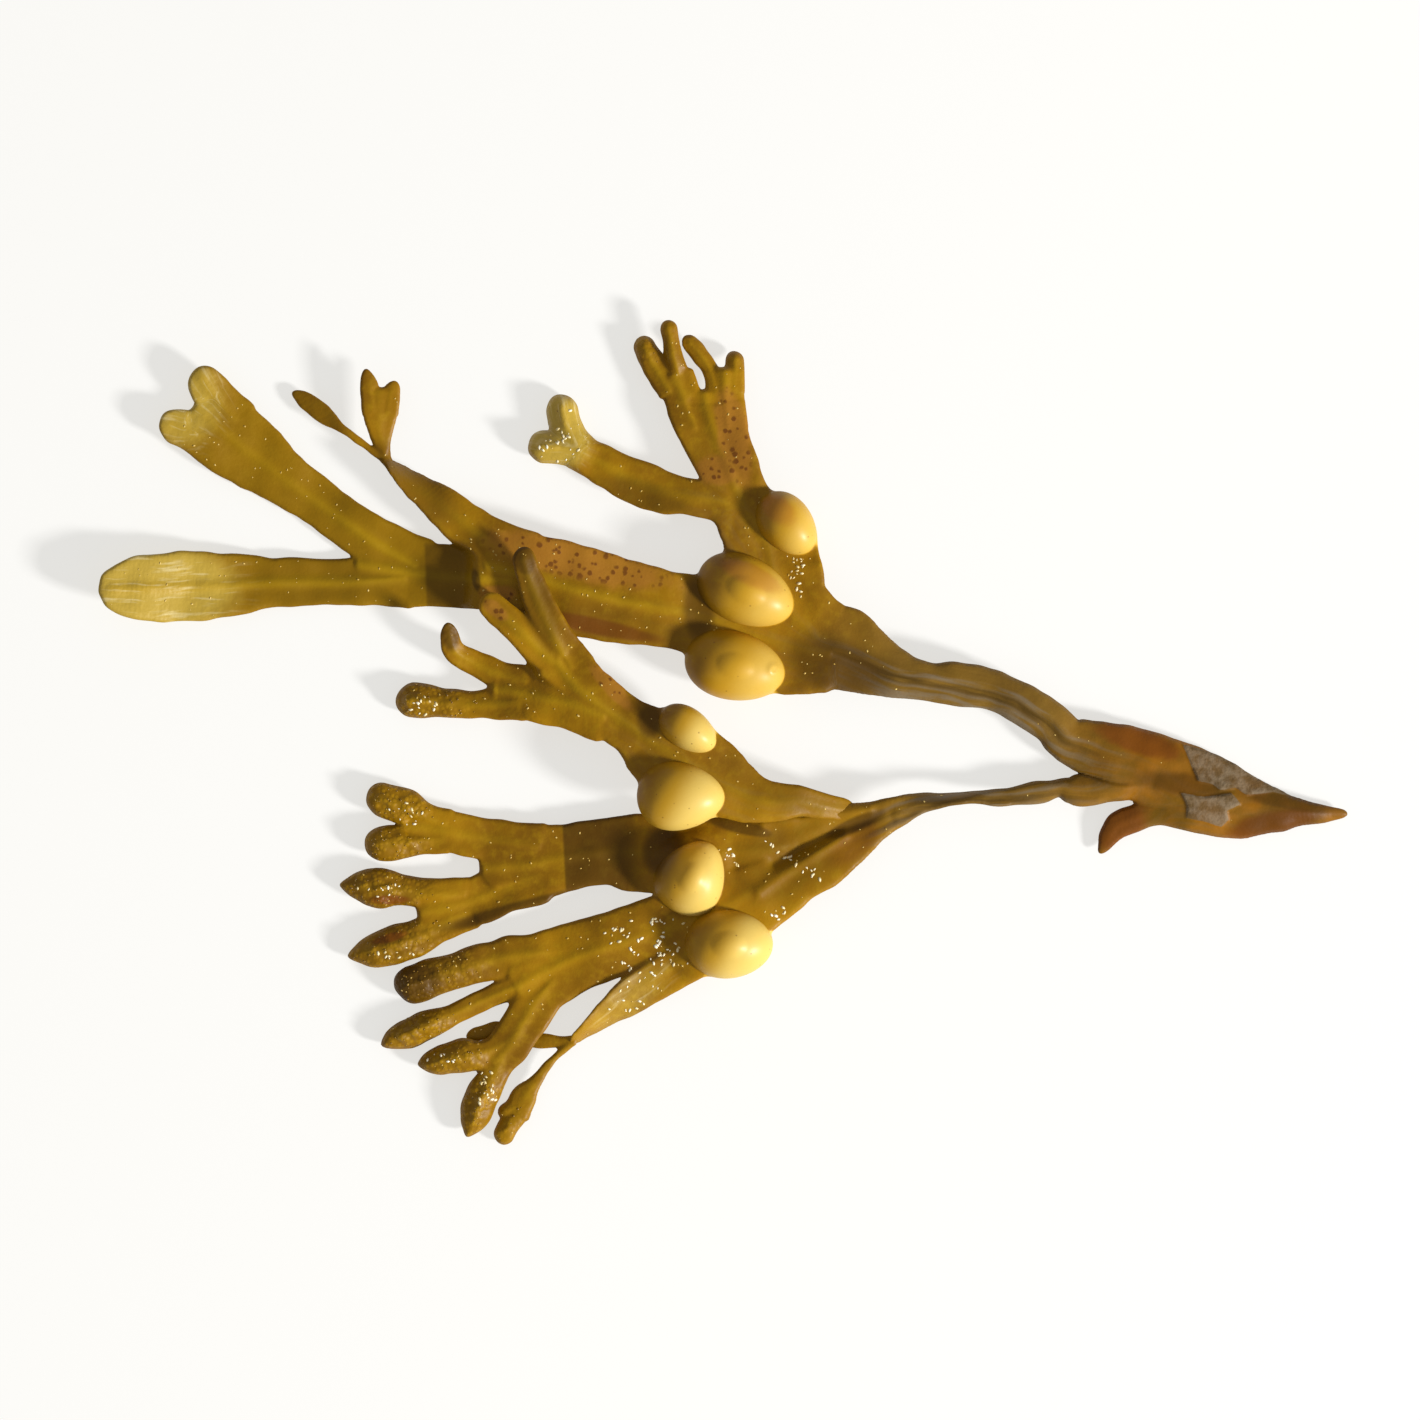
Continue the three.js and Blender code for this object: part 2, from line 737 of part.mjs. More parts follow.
addPiece(
  "slender_branch",
  "blade",
  blade(slenderPaths.blade, CUT, BURIED),
  blade(slenderPaths.tuckedTip, BURIED, 1),
  blade(slenderPaths.thread, BURIED, BURIED),
  blade(slenderPaths.longLobe, BURIED, 0.9),
  blade(slenderPaths.shortLobe, BURIED, 0.7),
);

export default sprig;
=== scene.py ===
import json
import math

import bpy
import mathutils
import numpy as np
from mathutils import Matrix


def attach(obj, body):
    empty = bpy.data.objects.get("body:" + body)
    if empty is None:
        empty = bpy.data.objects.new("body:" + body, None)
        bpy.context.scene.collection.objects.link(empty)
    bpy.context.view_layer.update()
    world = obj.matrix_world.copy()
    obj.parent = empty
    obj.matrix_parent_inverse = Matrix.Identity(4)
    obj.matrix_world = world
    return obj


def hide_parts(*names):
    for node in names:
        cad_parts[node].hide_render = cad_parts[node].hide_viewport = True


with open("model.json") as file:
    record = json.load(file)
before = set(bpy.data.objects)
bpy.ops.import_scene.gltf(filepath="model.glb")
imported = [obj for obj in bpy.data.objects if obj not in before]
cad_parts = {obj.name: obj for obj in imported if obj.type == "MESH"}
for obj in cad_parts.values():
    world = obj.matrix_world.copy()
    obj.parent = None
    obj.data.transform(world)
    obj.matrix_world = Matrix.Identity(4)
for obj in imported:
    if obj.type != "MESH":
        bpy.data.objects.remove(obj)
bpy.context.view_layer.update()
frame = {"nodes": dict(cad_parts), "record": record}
mm = 0.001
print("frame loaded:", len(frame["nodes"]), "solids")

# The sheet: one net of small triangles, cut along the outline of each layer.
sheet = {
    "spacing": 0.19,  # mm between net points
    "fillet": 0.8,  # mm, rounding where a branch leaves its parent
    "filletReach": 9.0,  # mm along the branch
    "thickness": 0.62,  # share of the solid's thickness kept where the blade is flat
    "marginWave": 0.06,  # mm, unevenness of the outline
    "blendReach": 5.0,  # mm over which one piece's look passes into the next
    "sway": 0.13,  # mm, slow rise and fall of the blade
    "ribHeight": 0.2,
    "ribWidth": 0.55,
    "pathStep": 0.12,  # mm between samples along a strand
    "halfThick": 0.55,  # mm, where a row gives none
    "thinnest": 0.15,  # mm, least half width and half thickness
    "roundPower": 2.0,  # of a rounded end, less is more pointed
    "searchReach": 2.5,  # mm past a strand's edge where it still counts
    "rowHeight": 0.866,  # height of a net triangle over its side
    "foldRound": 0.6,  # mm, rounding along a folded midrib
    "strandGrip": 3.5,  # per mm, how sharply one strand's height gives way to another's
    "lumps": 0.045,  # mm, unevenness of the ripe tips
    "ridge": 0.2,  # mm, ridge along a dry stalk, and the groove beside it
    "groove": 0.28,
    "ridgeWidth": 0.5,
    "crustHeight": 0.12,  # mm, thickness of the torn grey patches
    "marginLift": 0.9,  # how far the light at the margin reads as from above
    "seed": 7,
}

bladderForm = {
    "blend": 0.5,  # mm, softness where its outline meets the blade's
    "pull": (1.0, 1.5),  # radii over which its height gives way to the blade's
    "foot": 0.3,  # mm, softness at its foot
    "softFoot": 1.1,  # mm more on the side away from the stalk
    "rim": (0.84, 0.99),  # radii over which its colour ends
    # The pale side of a bladder is painted light, turned toward the key light.
    "lightTurn": 0.4,  # how far its pale side is turned from +X towards -Y
    "oliveShare": 0.4,  # colour taken off where a piece's bladders are olive
}


def filledRow(row):
    return list(row) + [sheet["halfThick"], 0.0][len(row) - 4:]


# Rows are x, y, z and half width in mm, then half thickness and roll in degrees where they differ.
def alongRows(rows):
    r = np.array([filledRow(x) for x in rows], float)
    p = np.vstack([2 * r[0] - r[1], r, 2 * r[-1] - r[-2]])
    out = []
    span = []
    for i in range(len(r) - 1):
        a, b, c, d = p[i:i + 4]
        n = max(4, int(np.hypot(*(c - b)[:2]) / sheet["pathStep"]))
        t = (np.arange(n) / n)[:, None]
        curve = 2 * b + (c - a) * t + (2 * a - 5 * b + 4 * c - d) * t ** 2
        out.append(0.5 * (curve + (3 * b - a - 3 * c + d) * t ** 3))
        span.append(np.full(n, i))
    out.append(r[-1:])
    span.append([len(r) - 2])
    return np.vstack(out), np.concatenate(span)


def ripple(points, length, seed):
    draw = np.random.default_rng(seed)
    total = np.zeros(len(points))
    for _ in range(7):
        turn = draw.uniform(0, 2 * math.pi)
        pace = 2 * math.pi / length * draw.uniform(0.6, 1.5)
        phase = draw.uniform(0, 2 * math.pi)
        total += np.sin((points[:, 0] * math.cos(turn) + points[:, 1] * math.sin(turn)) * pace + phase)
    return total / 2.6


def smoothStep(x, low, high):
    t = np.clip((x - low) / (high - low), 0, 1)
    return t * t * (3 - 2 * t)


def softMax(a, b, k):
    h = np.maximum(k - np.abs(a - b), 0) / k
    return np.maximum(a, b) + h * h * k / 4


# Each piece below: its strands, its bladders and its look.
# "start" and "tip" are the mm over which an end is rounded off; an end without one runs into its neighbour.
# A strand that follows another starts at that one's last row.
# A dark zone is painted shade: cast shadows, shade in creases, under raised parts and where a blade turns
# from the light; some also hold the blade's own darker tone.
stipe = {
    "slot": "stipe", "ribs": 0.3, "stem": 1.0, "dry": 0.1, "fillet": 0.5,
    "strands": {
        "torn": {"start": 3.0, "rows": [(62.6, -8.2, 0.9, 0.8, 0.6), (59.5, -8.2, 1.0, 1.0, 0.8),
            (56, -8.0, 1.1, 1.95, 1.1), (52, -7.4, 1.2, 3.35, 1.3), (48, -6.1, 1.3, 4.1, 1.4),
            (45, -5.0, 1.4, 4.2, 1.4), (41.5, -3.1, 1.5, 3.5, 1.35), (36.2, -1.38, 1.75, 2.7, 1.2)]},
        "lowerFork": {"rows": [(44, -5.0, 1.5, 2.2, 1.2), (39.5, -5.6, 1.6, 1.35, 1.05),
            (36, -5.85, 1.7, 1.65, 0.95)]},
        "spur": {"tip": 2.5, "rows": [(47, -7.2, 1.3, 2.2, 1.1), (44, -7.6, 1.25, 1.65, 0.95),
            (41.4, -8.5, 1.15, 1.45, 0.85), (39.2, -9.6, 1.05, 1.25, 0.75),
            (37.8, -12.1, 0.85, 0.8, 0.5)]},
    },
    "red": [((41.5, -0.9), (5.0, 1.4), -18), ((55, -9.2), (5.2, 1.3), 12), ((39.6, -9.6), (3.4, 2.2), 32)],
    "dark": [((46, -5.2), (5.5, 1.3), -8, 0.7), ((56.5, -7.0), (5.5, 1.0), -12, 0.8),
             ((56, -9), (5, 2), 10, 0.6), ((39.5, -10), (3, 2.4), 40, 0.3)],
    "crust": [  # outlines of the two torn grey patches
        [(45.9, -1.2), (46.9, -3.7), (47.4, -4.9), (48.9, -5.2), (49.6, -5.8), (51.2, -5.6), (52.3, -6.3),
         (55, -6.0), (57.5, -6.6), (55, -4.6), (50, -2.4)],
        [(45.7, -6.1), (48, -6.5), (50.8, -6.1), (51.7, -7.2), (50.3, -7.9), (50.5, -8.8), (49.8, -9.5),
         (48.2, -9.0), (46.2, -8.6), (46.3, -7.4)]],
}
upperStalk = {
    "slot": "stalk", "ribs": 0.2, "stem": 0.15, "dry": 1.0,
    "strands": {
        "stalk": {"follows": "stipe.torn", "rows": [(34.3, -0.65, 1.9, 2.25, 1.15),
            (32.6, 1.05, 2.1, 2.05, 1.1), (30, 2.65, 2.35, 2.05, 1.05), (27, 4.15, 2.6, 2.05, 1.0),
            (24, 4.7, 2.8, 2.25, 0.95), (20, 5.1, 3.0, 2.0, 0.9), (17, 5.9, 3.1, 2.55, 0.85),
            (14, 7.2, 3.1, 3.55, 0.75), (12, 8.2, 3.1, 4.2, 0.7)]},
    },
}
lowerStalk = {
    "slot": "stalk", "ribs": 0.2, "stem": 0.15, "dry": 0.9,
    "strands": {
        "stalk": {"follows": "stipe.lowerFork", "rows": [(34.6, -5.85, 1.8, 1.35, 0.9),
            (33.5, -5.65, 1.8, 1.0, 0.9), (31.5, -6.05, 2.0, 1.1, 0.8), (28, -6.5, 2.3, 1.0, 0.7, 25),
            (24, -6.6, 2.7, 0.95, 0.6, 52), (20, -7.1, 3.0, 1.2, 0.6, 35), (17.5, -7.9, 3.1, 1.5, 0.65),
            (15.4, -8.8, 3.1, 2.0, 0.65)]},
    },
}
upperFork = {
    "slot": "fork", "ribs": 0.5, "dry": 0.1, "foldRight": 8, "foldLeft": 6, "olive": 0.8,
    "strands": {
        "trunk": {"follows": "upperStalk.stalk", "rows": [(9.6, 9.16, 3.1, 4.3, 0.65),
            (6.6, 12.2, 3.1, 4.2), (5.1, 15.8, 3.1, 4.8), (4.2, 19, 3.1, 4.7), (2.4, 21.8, 3.1, 3.4),
            (1.4, 24, 3.1, 2.95), (0.4, 26.5, 3.0, 3.05)]},
        "toSpotted": {"rows": [(10.5, 8, 3.1, 4.1, 0.65), (6.8, 8.6, 3.1, 4.9), (3, 9.8, 3.1, 5.0),
            (0, 11, 3.1, 4.3), (-4.6, 12.05, 3.1, 3.8)]},
        "toClub": {"rows": [(2.5, 22.2, 3.1, 2.6), (-0.6, 23.1, 3.0, 2.0), (-3.6, 23.55, 2.9, 1.85)]},
    },
    "bladders": [  # middle, half sizes, turn, taper
        ((6.3, 20.8, 3.1), (3.6, 2.6, 2.8), -49.5, 0.1),
        ((2.2, 14.1, 3.1), (5.1, 3.4, 3.4), -25, 0.1),
        ((1.1, 6.6, 3.1), (5.1, 3.45, 3.35), -13, 0.1)],
    "nubs": [((5.0, 6.2), 0.55, 0.4)],  # middle, radius, height
    "blush": [((5.6, 21.9), (1.7, 1.0), -45), ((2.6, 15.2), (2.6, 0.9), -25)],
    "dark": [((11, 6.6), (6.0, 3.2), -20, 0.75), ((-2.5, 12.4), (1.8, 4.0), 0, 0.8)],
    "dew": [((7.2, 16), (1.0, 2.5), 0)],
}
crownBranch = {
    "slot": "blade", "ribs": 0.8, "ripe": 0.6, "fillet": 0.3,
    "strands": {
        "trunk": {"follows": "upperFork.trunk", "rows": [(-0.8, 29.5, 2.7, 3.4), (-1.7, 32.3, 2.4, 3.8),
            (-1.8, 32.9, 2.3, 3.6)]},
        "leftFinger": {"rows": [(-2.8, 30.5, 2.6, 2.0), (-3.9, 33, 2.4, 1.95), (-4.8, 35.5, 2.2, 1.85)]},
        "rightFinger": {"rows": [(0.3, 30.5, 2.6, 2.1), (0.1, 33.2, 2.3, 1.95), (0.05, 35.8, 2.1, 1.8)]},
        "outerLeftTip": {"tip": 1.2, "rows": [(-5.4, 34.2, 2.2, 1.3), (-6.5, 35.9, 1.8, 1.3),
            (-7.7, 38, 1.2, 1.2, 0.95), (-8.5, 39.6, 1.0, 1.1, 1.0)]},
        "innerLeftTip": {"tip": 1.0, "rows": [(-4.2, 34.4, 2.3, 1.1), (-4.9, 37.2, 2.4, 0.92, 0.7),
            (-5.8, 41.2, 2.5, 0.88, 0.75)]},
        "innerRightTip": {"tip": 0.8, "rows": [(-0.8, 34, 2.2, 0.95), (-1.3, 36, 1.9, 0.85),
            (-2.3, 37.7, 1.6, 0.9, 0.65), (-3.3, 38.8, 1.4, 0.85, 0.7), (-4.1, 39.5, 1.3, 0.65, 0.6)]},
        "outerRightTip": {"tip": 1.0, "rows": [(0.95, 34.2, 2.2, 1.0), (1.1, 36.4, 1.6, 0.95, 0.7),
            (1.1, 38.2, 1.0, 0.9, 0.9)]},
    },
    "rust": [((1.0, 29.5), (1.8, 5.2), 10), ((-0.5, 26.2), (2.6, 1.6), 0)],
}
clubBranch = {
    "slot": "blade", "ribs": 0.7, "ripe": 0.1, "fillet": 0.5,
    "strands": {
        "arm": {"follows": "upperFork.toClub", "rows": [(-6, 24, 2.6, 2.15), (-9, 25.1, 2.3, 2.25),
            (-12, 26.65, 2.0, 2.0), (-14.6, 28.1, 1.7, 1.75, 1.0)]},
        "upperLobe": {"tip": 1.6, "rows": [(-14.4, 28.2, 1.7, 1.6, 1.0), (-15.8, 30.6, 1.5, 1.65, 1.3),
            (-16.5, 33.9, 1.3, 1.5, 1.2)]},
        "lowerLobe": {"tip": 1.6, "rows": [(-14.6, 28.2, 1.7, 1.7, 1.0), (-17, 28.5, 1.4, 1.7, 1.4),
            (-19.6, 28.65, 1.3, 1.6, 1.3)]},
    },
    "pale": [((-16.6, 30), (3.6, 4.2), 0)],
    "dark": [((-8.0, 23.6), (5.5, 1.7), -20, 0.6)],
    "dew": [((-16.2, 29.5), (2.4, 2.6), 0)],
}
spottedBranch = {
    "slot": "spotted", "ribs": 1.0, "foldRight": 4, "foldLeft": 6,
    "strands": {
        "blade": {"follows": "upperFork.toSpotted", "rows": [(-10, 13.05, 3.2, 4.2), (-14, 14, 3.4, 4.5),
            (-18, 15.1, 3.5, 4.4), (-21.5, 16, 3.6, 4.2), (-23.2, 16.4, 3.6, 3.9)]},
        "foldedEdge": {"rows": [(-20, 14.9, 3.6, 3.6), (-23, 15.3, 3.5, 3.3), (-24.9, 15.4, 3.2, 3.1)]},
        "toTwig": {"rows": [(-20.5, 17, 3.6, 3.2), (-23.5, 19, 3.6, 2.6), (-26.2, 21.1, 3.3, 2.15)]},
    },
    "rust": [((-14.5, 17.2), (10.5, 2.2), -13), ((-22.6, 13.8), (2.0, 0.9), 0)],
    "red": [((-13, 10.6), (7.5, 0.9), -12)],
    # Painted shade: the first, small oval darkens the crease of the fold.
    "dark": [((-24.8, 15.2), (0.45, 1.3), 10), ((-10, 10.4), (9, 2.2), -12, 0.4)],
}
twistedTwig = {
    "slot": "blade", "ribs": 0.3, "fillet": 0.25,
    "strands": {
        "stem": {"follows": "spottedBranch.toTwig", "rows": [(-28.2, 22.65, 3.1, 1.95, 0.5, 8),
            (-30.5, 24.3, 2.8, 1.65, 0.45, 30), (-32.5, 26, 2.6, 1.45, 0.4, 55),
            (-34, 27.3, 2.4, 1.0, 0.4, 66)]},
        "thread": {"tip": 1.8, "rows": [(-33.6, 27, 2.4, 0.5, 0.35, 40), (-37, 29.5, 2.1, 0.4, 0.3, 20),
            (-38.6, 30.7, 1.9, 0.5, 0.3), (-40.3, 32.0, 1.5, 0.95, 0.35), (-43.2, 34.1, 0.9, 0.8, 0.3)]},
        "leaflet": {"rows": [(-33.8, 27.3, 2.4, 0.5, 0.35), (-34.3, 29.3, 2.5, 1.05, 0.4),
            (-34.4, 31.5, 2.7, 1.6, 0.4), (-34.4, 33.8, 2.9, 1.75, 0.4)]},
        "leafletLeft": {"tip": 1.6, "rows": [(-35, 32, 2.8, 1.1, 0.4), (-35.4, 34.3, 3.0, 0.95, 0.4),
            (-35.8, 36.3, 3.2, 0.65, 0.35)]},
        "leafletRight": {"tip": 1.0, "rows": [(-33.7, 32, 2.8, 1.1, 0.4), (-33.4, 33.6, 2.9, 0.95, 0.4),
            (-32.9, 35.1, 3.0, 0.6, 0.35)]},
    },
    "dark": [((-31, 24.8), (6.5, 3.0), -40, 0.6), ((-40, 32.4), (4.5, 2.2), -40, 0.5)],
}
roundBlade = {
    "slot": "yellow", "ribs": 1.2, "yellow": 0.75, "foldRight": 5, "foldLeft": 5,
    "strands": {
        "base": {"follows": "spottedBranch.foldedEdge", "rows": [(-26.2, 15.5, 1.5, 3.1),
            (-28.5, 15.65, 1.1, 3.1), (-31.5, 16, 0.9, 3.4), (-36, 16.7, 0.8, 3.3)]},
        "lobe": {"tip": 5.0, "rows": [(-32, 15.5, 0.9, 2.9), (-37.5, 15.1, 0.75, 2.4),
            (-42, 15.05, 0.75, 2.4), (-46, 14.95, 0.9, 2.65), (-50, 14.7, 1.2, 3.25),
            (-54, 14.55, 1.8, 3.5), (-58, 14.4, 2.6, 3.3), (-62.6, 14.3, 3.9, 3.05)]},
        "toNotched": {"rows": [(-31, 16.6, 0.9, 3.0), (-35, 19, 0.85, 2.6), (-38.6, 21.5, 0.8, 2.3)]},
    },
    "pale": [((-57, 14.4), (8.5, 4.8), 0)],
    # Painted cast shadow: the band left of the folded edge is the shadow of the spotted blade's raised end.
    "dark": [{"edge": ((-29.8, 11.6), (-30.1, 19.0)), "fade": 6.5, "strength": 0.62},
             ((-41, 15), (8, 4), 0, 0.33)],
}
notchedBlade = {
    "slot": "yellow", "ribs": 0.6, "yellow": 0.7, "fillet": 0.5,
    "strands": {
        "blade": {"follows": "roundBlade.toNotched", "rows": [(-41.4, 23.5, 0.8, 2.45),
            (-44.4, 25.6, 0.9, 2.8), (-47, 27.6, 1.1, 3.4), (-49.6, 29.6, 1.4, 3.85),
            (-52.1, 31.7, 1.8, 3.6)]},
        "upperLobe": {"tip": 1.8, "rows": [(-49, 31.2, 1.4, 2.4), (-51.1, 33.6, 1.9, 2.0),
            (-52.8, 36.4, 2.5, 1.6)]},
        "lowerLobe": {"tip": 1.8, "rows": [(-50.6, 29, 1.5, 2.4), (-53.2, 30.1, 1.9, 2.1),
            (-56.4, 31.2, 2.3, 1.7)]},
    },
    "pale": [((-54.4, 33.2), (4.6, 5.0), 0, 0.7)],
}
raisedFork = {
    "slot": "fork", "ribs": 0.6, "dry": 0.1, "layer": "over",
    "strands": {
        "blade": {"start": 2.0, "rows": [(13.8, -8.0, 2.65, 0.6, 0.3), (11.8, -7.75, 3.3, 1.1, 0.35),
            (10, -7.45, 4.0, 1.25, 0.4), (7.5, -6.95, 4.75, 1.6, 0.5), (4, -6.9, 4.95, 2.2),
            (1, -5.8, 5.05, 3.1), (-2, -3.9, 5.1, 3.9), (-6.2, -1.6, 5.0, 4.1), (-9, 0.4, 4.8, 2.8)]},
    },
    "bladders": [
        ((-3.6, 0.3, 5.2), (3.2, 2.05, 2.5), -34, 0.1),
        ((-4.3, -6.4, 5.2), (4.4, 3.4, 3.1), -2, 0.2)],
    "dark": [((8, -6.6), (4.5, 2.0), -8, 0.5), ((-7.4, 1.2), (1.4, 2.0), 0, 0.8),
             ((2, -4.6), (4, 3), -30, 0.3)],
}
crossingBranch = {
    "slot": "blade", "ribs": 1.1, "layer": "over", "foldRight": 5, "foldLeft": 5,
    "strands": {
        "blade": {"follows": "raisedFork.blade", "rows": [(-12, 2.4, 4.5, 2.8), (-14.8, 4.6, 4.4, 3.1),
            (-16.5, 6.8, 4.4, 3.0)]},
        "longFinger": {"tip": 1.4, "rows": [(-15.3, 6.4, 4.4, 2.3), (-17.1, 9.8, 4.7, 1.85),
            (-18.5, 13, 5.3, 1.55), (-19.6, 16, 5.8, 1.3), (-20.2, 18.4, 5.9, 1.15)]},
        "shortFinger": {"tip": 1.4, "rows": [(-16.6, 6.6, 4.4, 2.0), (-18.6, 8.5, 4.4, 1.8),
            (-20.5, 10.3, 4.6, 1.6), (-22.5, 12, 4.8, 1.4), (-24.3, 13.4, 4.9, 1.2)]},
        "toCurled": {"rows": [(-12, 1.6, 4.5, 2.6), (-15.3, 2.8, 4.0, 2.65), (-18.2, 3.4, 3.4, 2.6)]},
    },
    "rust": [((-11.3, 4.6), (3.2, 0.9), -48), ((-22.8, 12.2), (1.6, 0.8), -40)],
    "dark": [((-19.9, 17.2), (1.2, 2.0), 15), ((-18.6, 13), (2.0, 5.5), 17, 0.65),
             ((-22, 11.6), (3.2, 1.4), -42, 0.4)],
}
curledBranch = {
    "slot": "tips", "ribs": 0.8, "ripe": 1.0, "layer": "over",
    "strands": {
        "blade": {"follows": "crossingBranch.toCurled", "rows": [(-20.6, 4, 2.8, 2.5),
            (-22.6, 4.3, 2.4, 2.2)]},
        "lowTip": {"tip": 1.6, "rows": [(-20.5, 3.1, 2.8, 1.8), (-22.5, 2.85, 2.3, 1.65),
            (-25, 2.75, 1.9, 1.4, 0.7), (-28, 2.95, 1.45, 1.5, 1.0), (-30.5, 3.15, 1.3, 1.75, 1.3),
            (-32.9, 3.35, 1.2, 1.55, 1.2)]},
        "hookedTip": {"tip": 1.6, "rows": [(-19.8, 5, 2.9, 1.5), (-22.5, 5.75, 2.4, 1.4),
            (-25.1, 7.0, 2.3, 1.25), (-27, 8.3, 2.9, 1.1, 0.5), (-27.6, 11.1, 4.6, 0.8, 0.4)]},
    },
    "dark": [((-27.3, 9.8), (1.0, 1.8), 0)],
    "dew": [((-30, 2.4), (1.6, 1.0), 0)],
}
lowerFork = {
    "slot": "fork", "ribs": 0.4,
    "strands": {
        "trunk": {"follows": "lowerStalk.stalk", "rows": [(13.3, -9.7, 3.0, 2.75, 0.6),
            (10, -11.5, 3.0, 3.85, 0.6), (6.5, -13.3, 3.0, 4.1), (3.5, -15.3, 3.0, 4.5),
            (0, -17.4, 3.0, 4.8), (-4, -19, 2.8, 4.3)]},
        "toMiddle": {"rows": [(7, -11.5, 3.0, 3.4), (1, -12, 2.7, 3.8), (-4, -12.2, 2.2, 3.9),
            (-8.8, -12.1, 1.9, 3.9)]},
        "toFan": {"rows": [(0, -18, 2.9, 4.2), (-5.5, -19.6, 2.6, 3.6), (-10.8, -21.2, 2.3, 3.35)]},
        "toSlender": {"rows": [(-1, -20.5, 2.9, 3.0), (-5.6, -23.6, 2.6, 2.6, 0.5, -12),
            (-9.6, -26.6, 2.2, 2.1, 0.5, -28)]},
    },
    "bladders": [
        ((-3.2, -14.5, 3.0), (3.9, 3.4, 3.3), 60, 0.24),
        ((0.5, -21.2, 3.1), (4.4, 3.45, 3.4), 0, 0.08)],
    "creases": [  # path, depth (below nought is a ridge), half width
        ([(16.5, -8.3), (11, -9.9), (5, -13)], 0.45, 0.75),
        ([(14.5, -7.8), (9, -8.4), (4, -9.2)], -0.3, 0.6),
        ([(12, -10.3), (7.5, -13.2), (3.5, -16)], -0.28, 0.6)],
    "red": [((13, -11.2), (3.8, 1.7), 38, 0.6)],
    # Painted shade: in the upper crease's groove, under the raised fork's lower margin and across the
    # fork's shaded middle.
    "dark": [((13, -9.3), (3.6, 0.8), 24), ((1.5, -9.4), (4.0, 0.8), -15), ((-6, -12), (2.4, 2.6), 0),
             ((6, -12.5), (8, 5), 28, 0.5)],
    "dew": [((0.6, -12.8), (0.9, 1.6), 0), ((5.4, -18.2), (1.1, 0.9), 0), ((-6, -18.8), (2.6, 0.6), 0),
            ((-6.8, -23), (3.2, 2.4), 20), ((7.5, -13.2), (4.6, 0.5), -34)],
}
middleBranch = {
    "slot": "tips", "ribs": 0.6, "ripe": 1.0, "foldLeft": 12,
    "strands": {
        "blade": {"follows": "lowerFork.toMiddle", "rows": [(-12, -12, 1.8, 3.35), (-16, -12.6, 1.7, 3.4),
            (-19.5, -13.3, 1.6, 4.0), (-22.8, -13.6, 1.6, 4.3)]},
        "upperArm": {"rows": [(-18.5, -11.5, 1.7, 2.2), (-22.5, -11, 1.5, 2.15), (-26, -10.3, 1.45, 2.1),
            (-31.5, -9.4, 1.35, 1.8)]},
        "lowerArm": {"foldLeft": 22, "rows": [(-18.5, -14.5, 1.7, 2.55), (-22, -15.6, 1.55, 2.5),
            (-25.5, -17.1, 1.45, 2.4), (-30, -18.1, 1.4, 1.9)]},
        "firstTip": {"tip": 1.6, "rows": [(-28, -9.3, 1.4, 1.4, 0.6), (-30.2, -8.5, 1.35, 1.5, 0.9),
            (-32.2, -7.4, 1.3, 1.8, 1.25), (-35.8, -6.3, 1.2, 1.6, 1.2)]},
        "secondTip": {"tip": 1.6, "rows": [(-28, -10.6, 1.4, 1.3, 0.6), (-30.5, -10.9, 1.3, 1.4, 0.9),
            (-33, -11.1, 1.25, 1.75, 1.25), (-36, -11.2, 1.2, 1.6, 1.15)]},
        "thirdTip": {"tip": 2.8, "point": 1.55, "rows": [(-26, -16.4, 1.45, 1.6, 0.6),
            (-29, -16.2, 1.35, 1.6, 0.75), (-32, -15.9, 1.25, 1.55, 1.0), (-34.5, -15.6, 1.3, 1.95, 1.3),
            (-38.6, -15.3, 1.15, 1.3, 1.0)]},
        "fourthTip": {"tip": 2.8, "point": 1.55, "rows": [(-25.5, -18, 1.45, 1.75, 0.6),
            (-27.5, -18.9, 1.4, 1.7, 0.7), (-30.2, -20.35, 1.3, 1.78, 0.9),
            (-33.1, -21.4, 1.3, 1.95, 1.3), (-37.7, -22.5, 1.15, 1.3, 1.0)]},
    },
    # Painted cast shadow: the band across the blade is the shadow of the lower fork's bladder beside it.
    "dark": [{"edge": ((-15.8, -17), (-16.3, -8)), "fade": 9.5, "strength": 0.9},
             ((-19, -17.4), (10, 0.9), 14)],
    "red": [((-33.5, -16.8), (2.2, 0.5), 0), ((-33.5, -20.6), (2.0, 0.5), 15)],
    "dew": [((-32, -8.3), (1.8, 1.2), 0), ((-34.5, -15.4), (2.0, 1.2), 0), ((-33, -22.4), (2.4, 0.8), 0)],
}
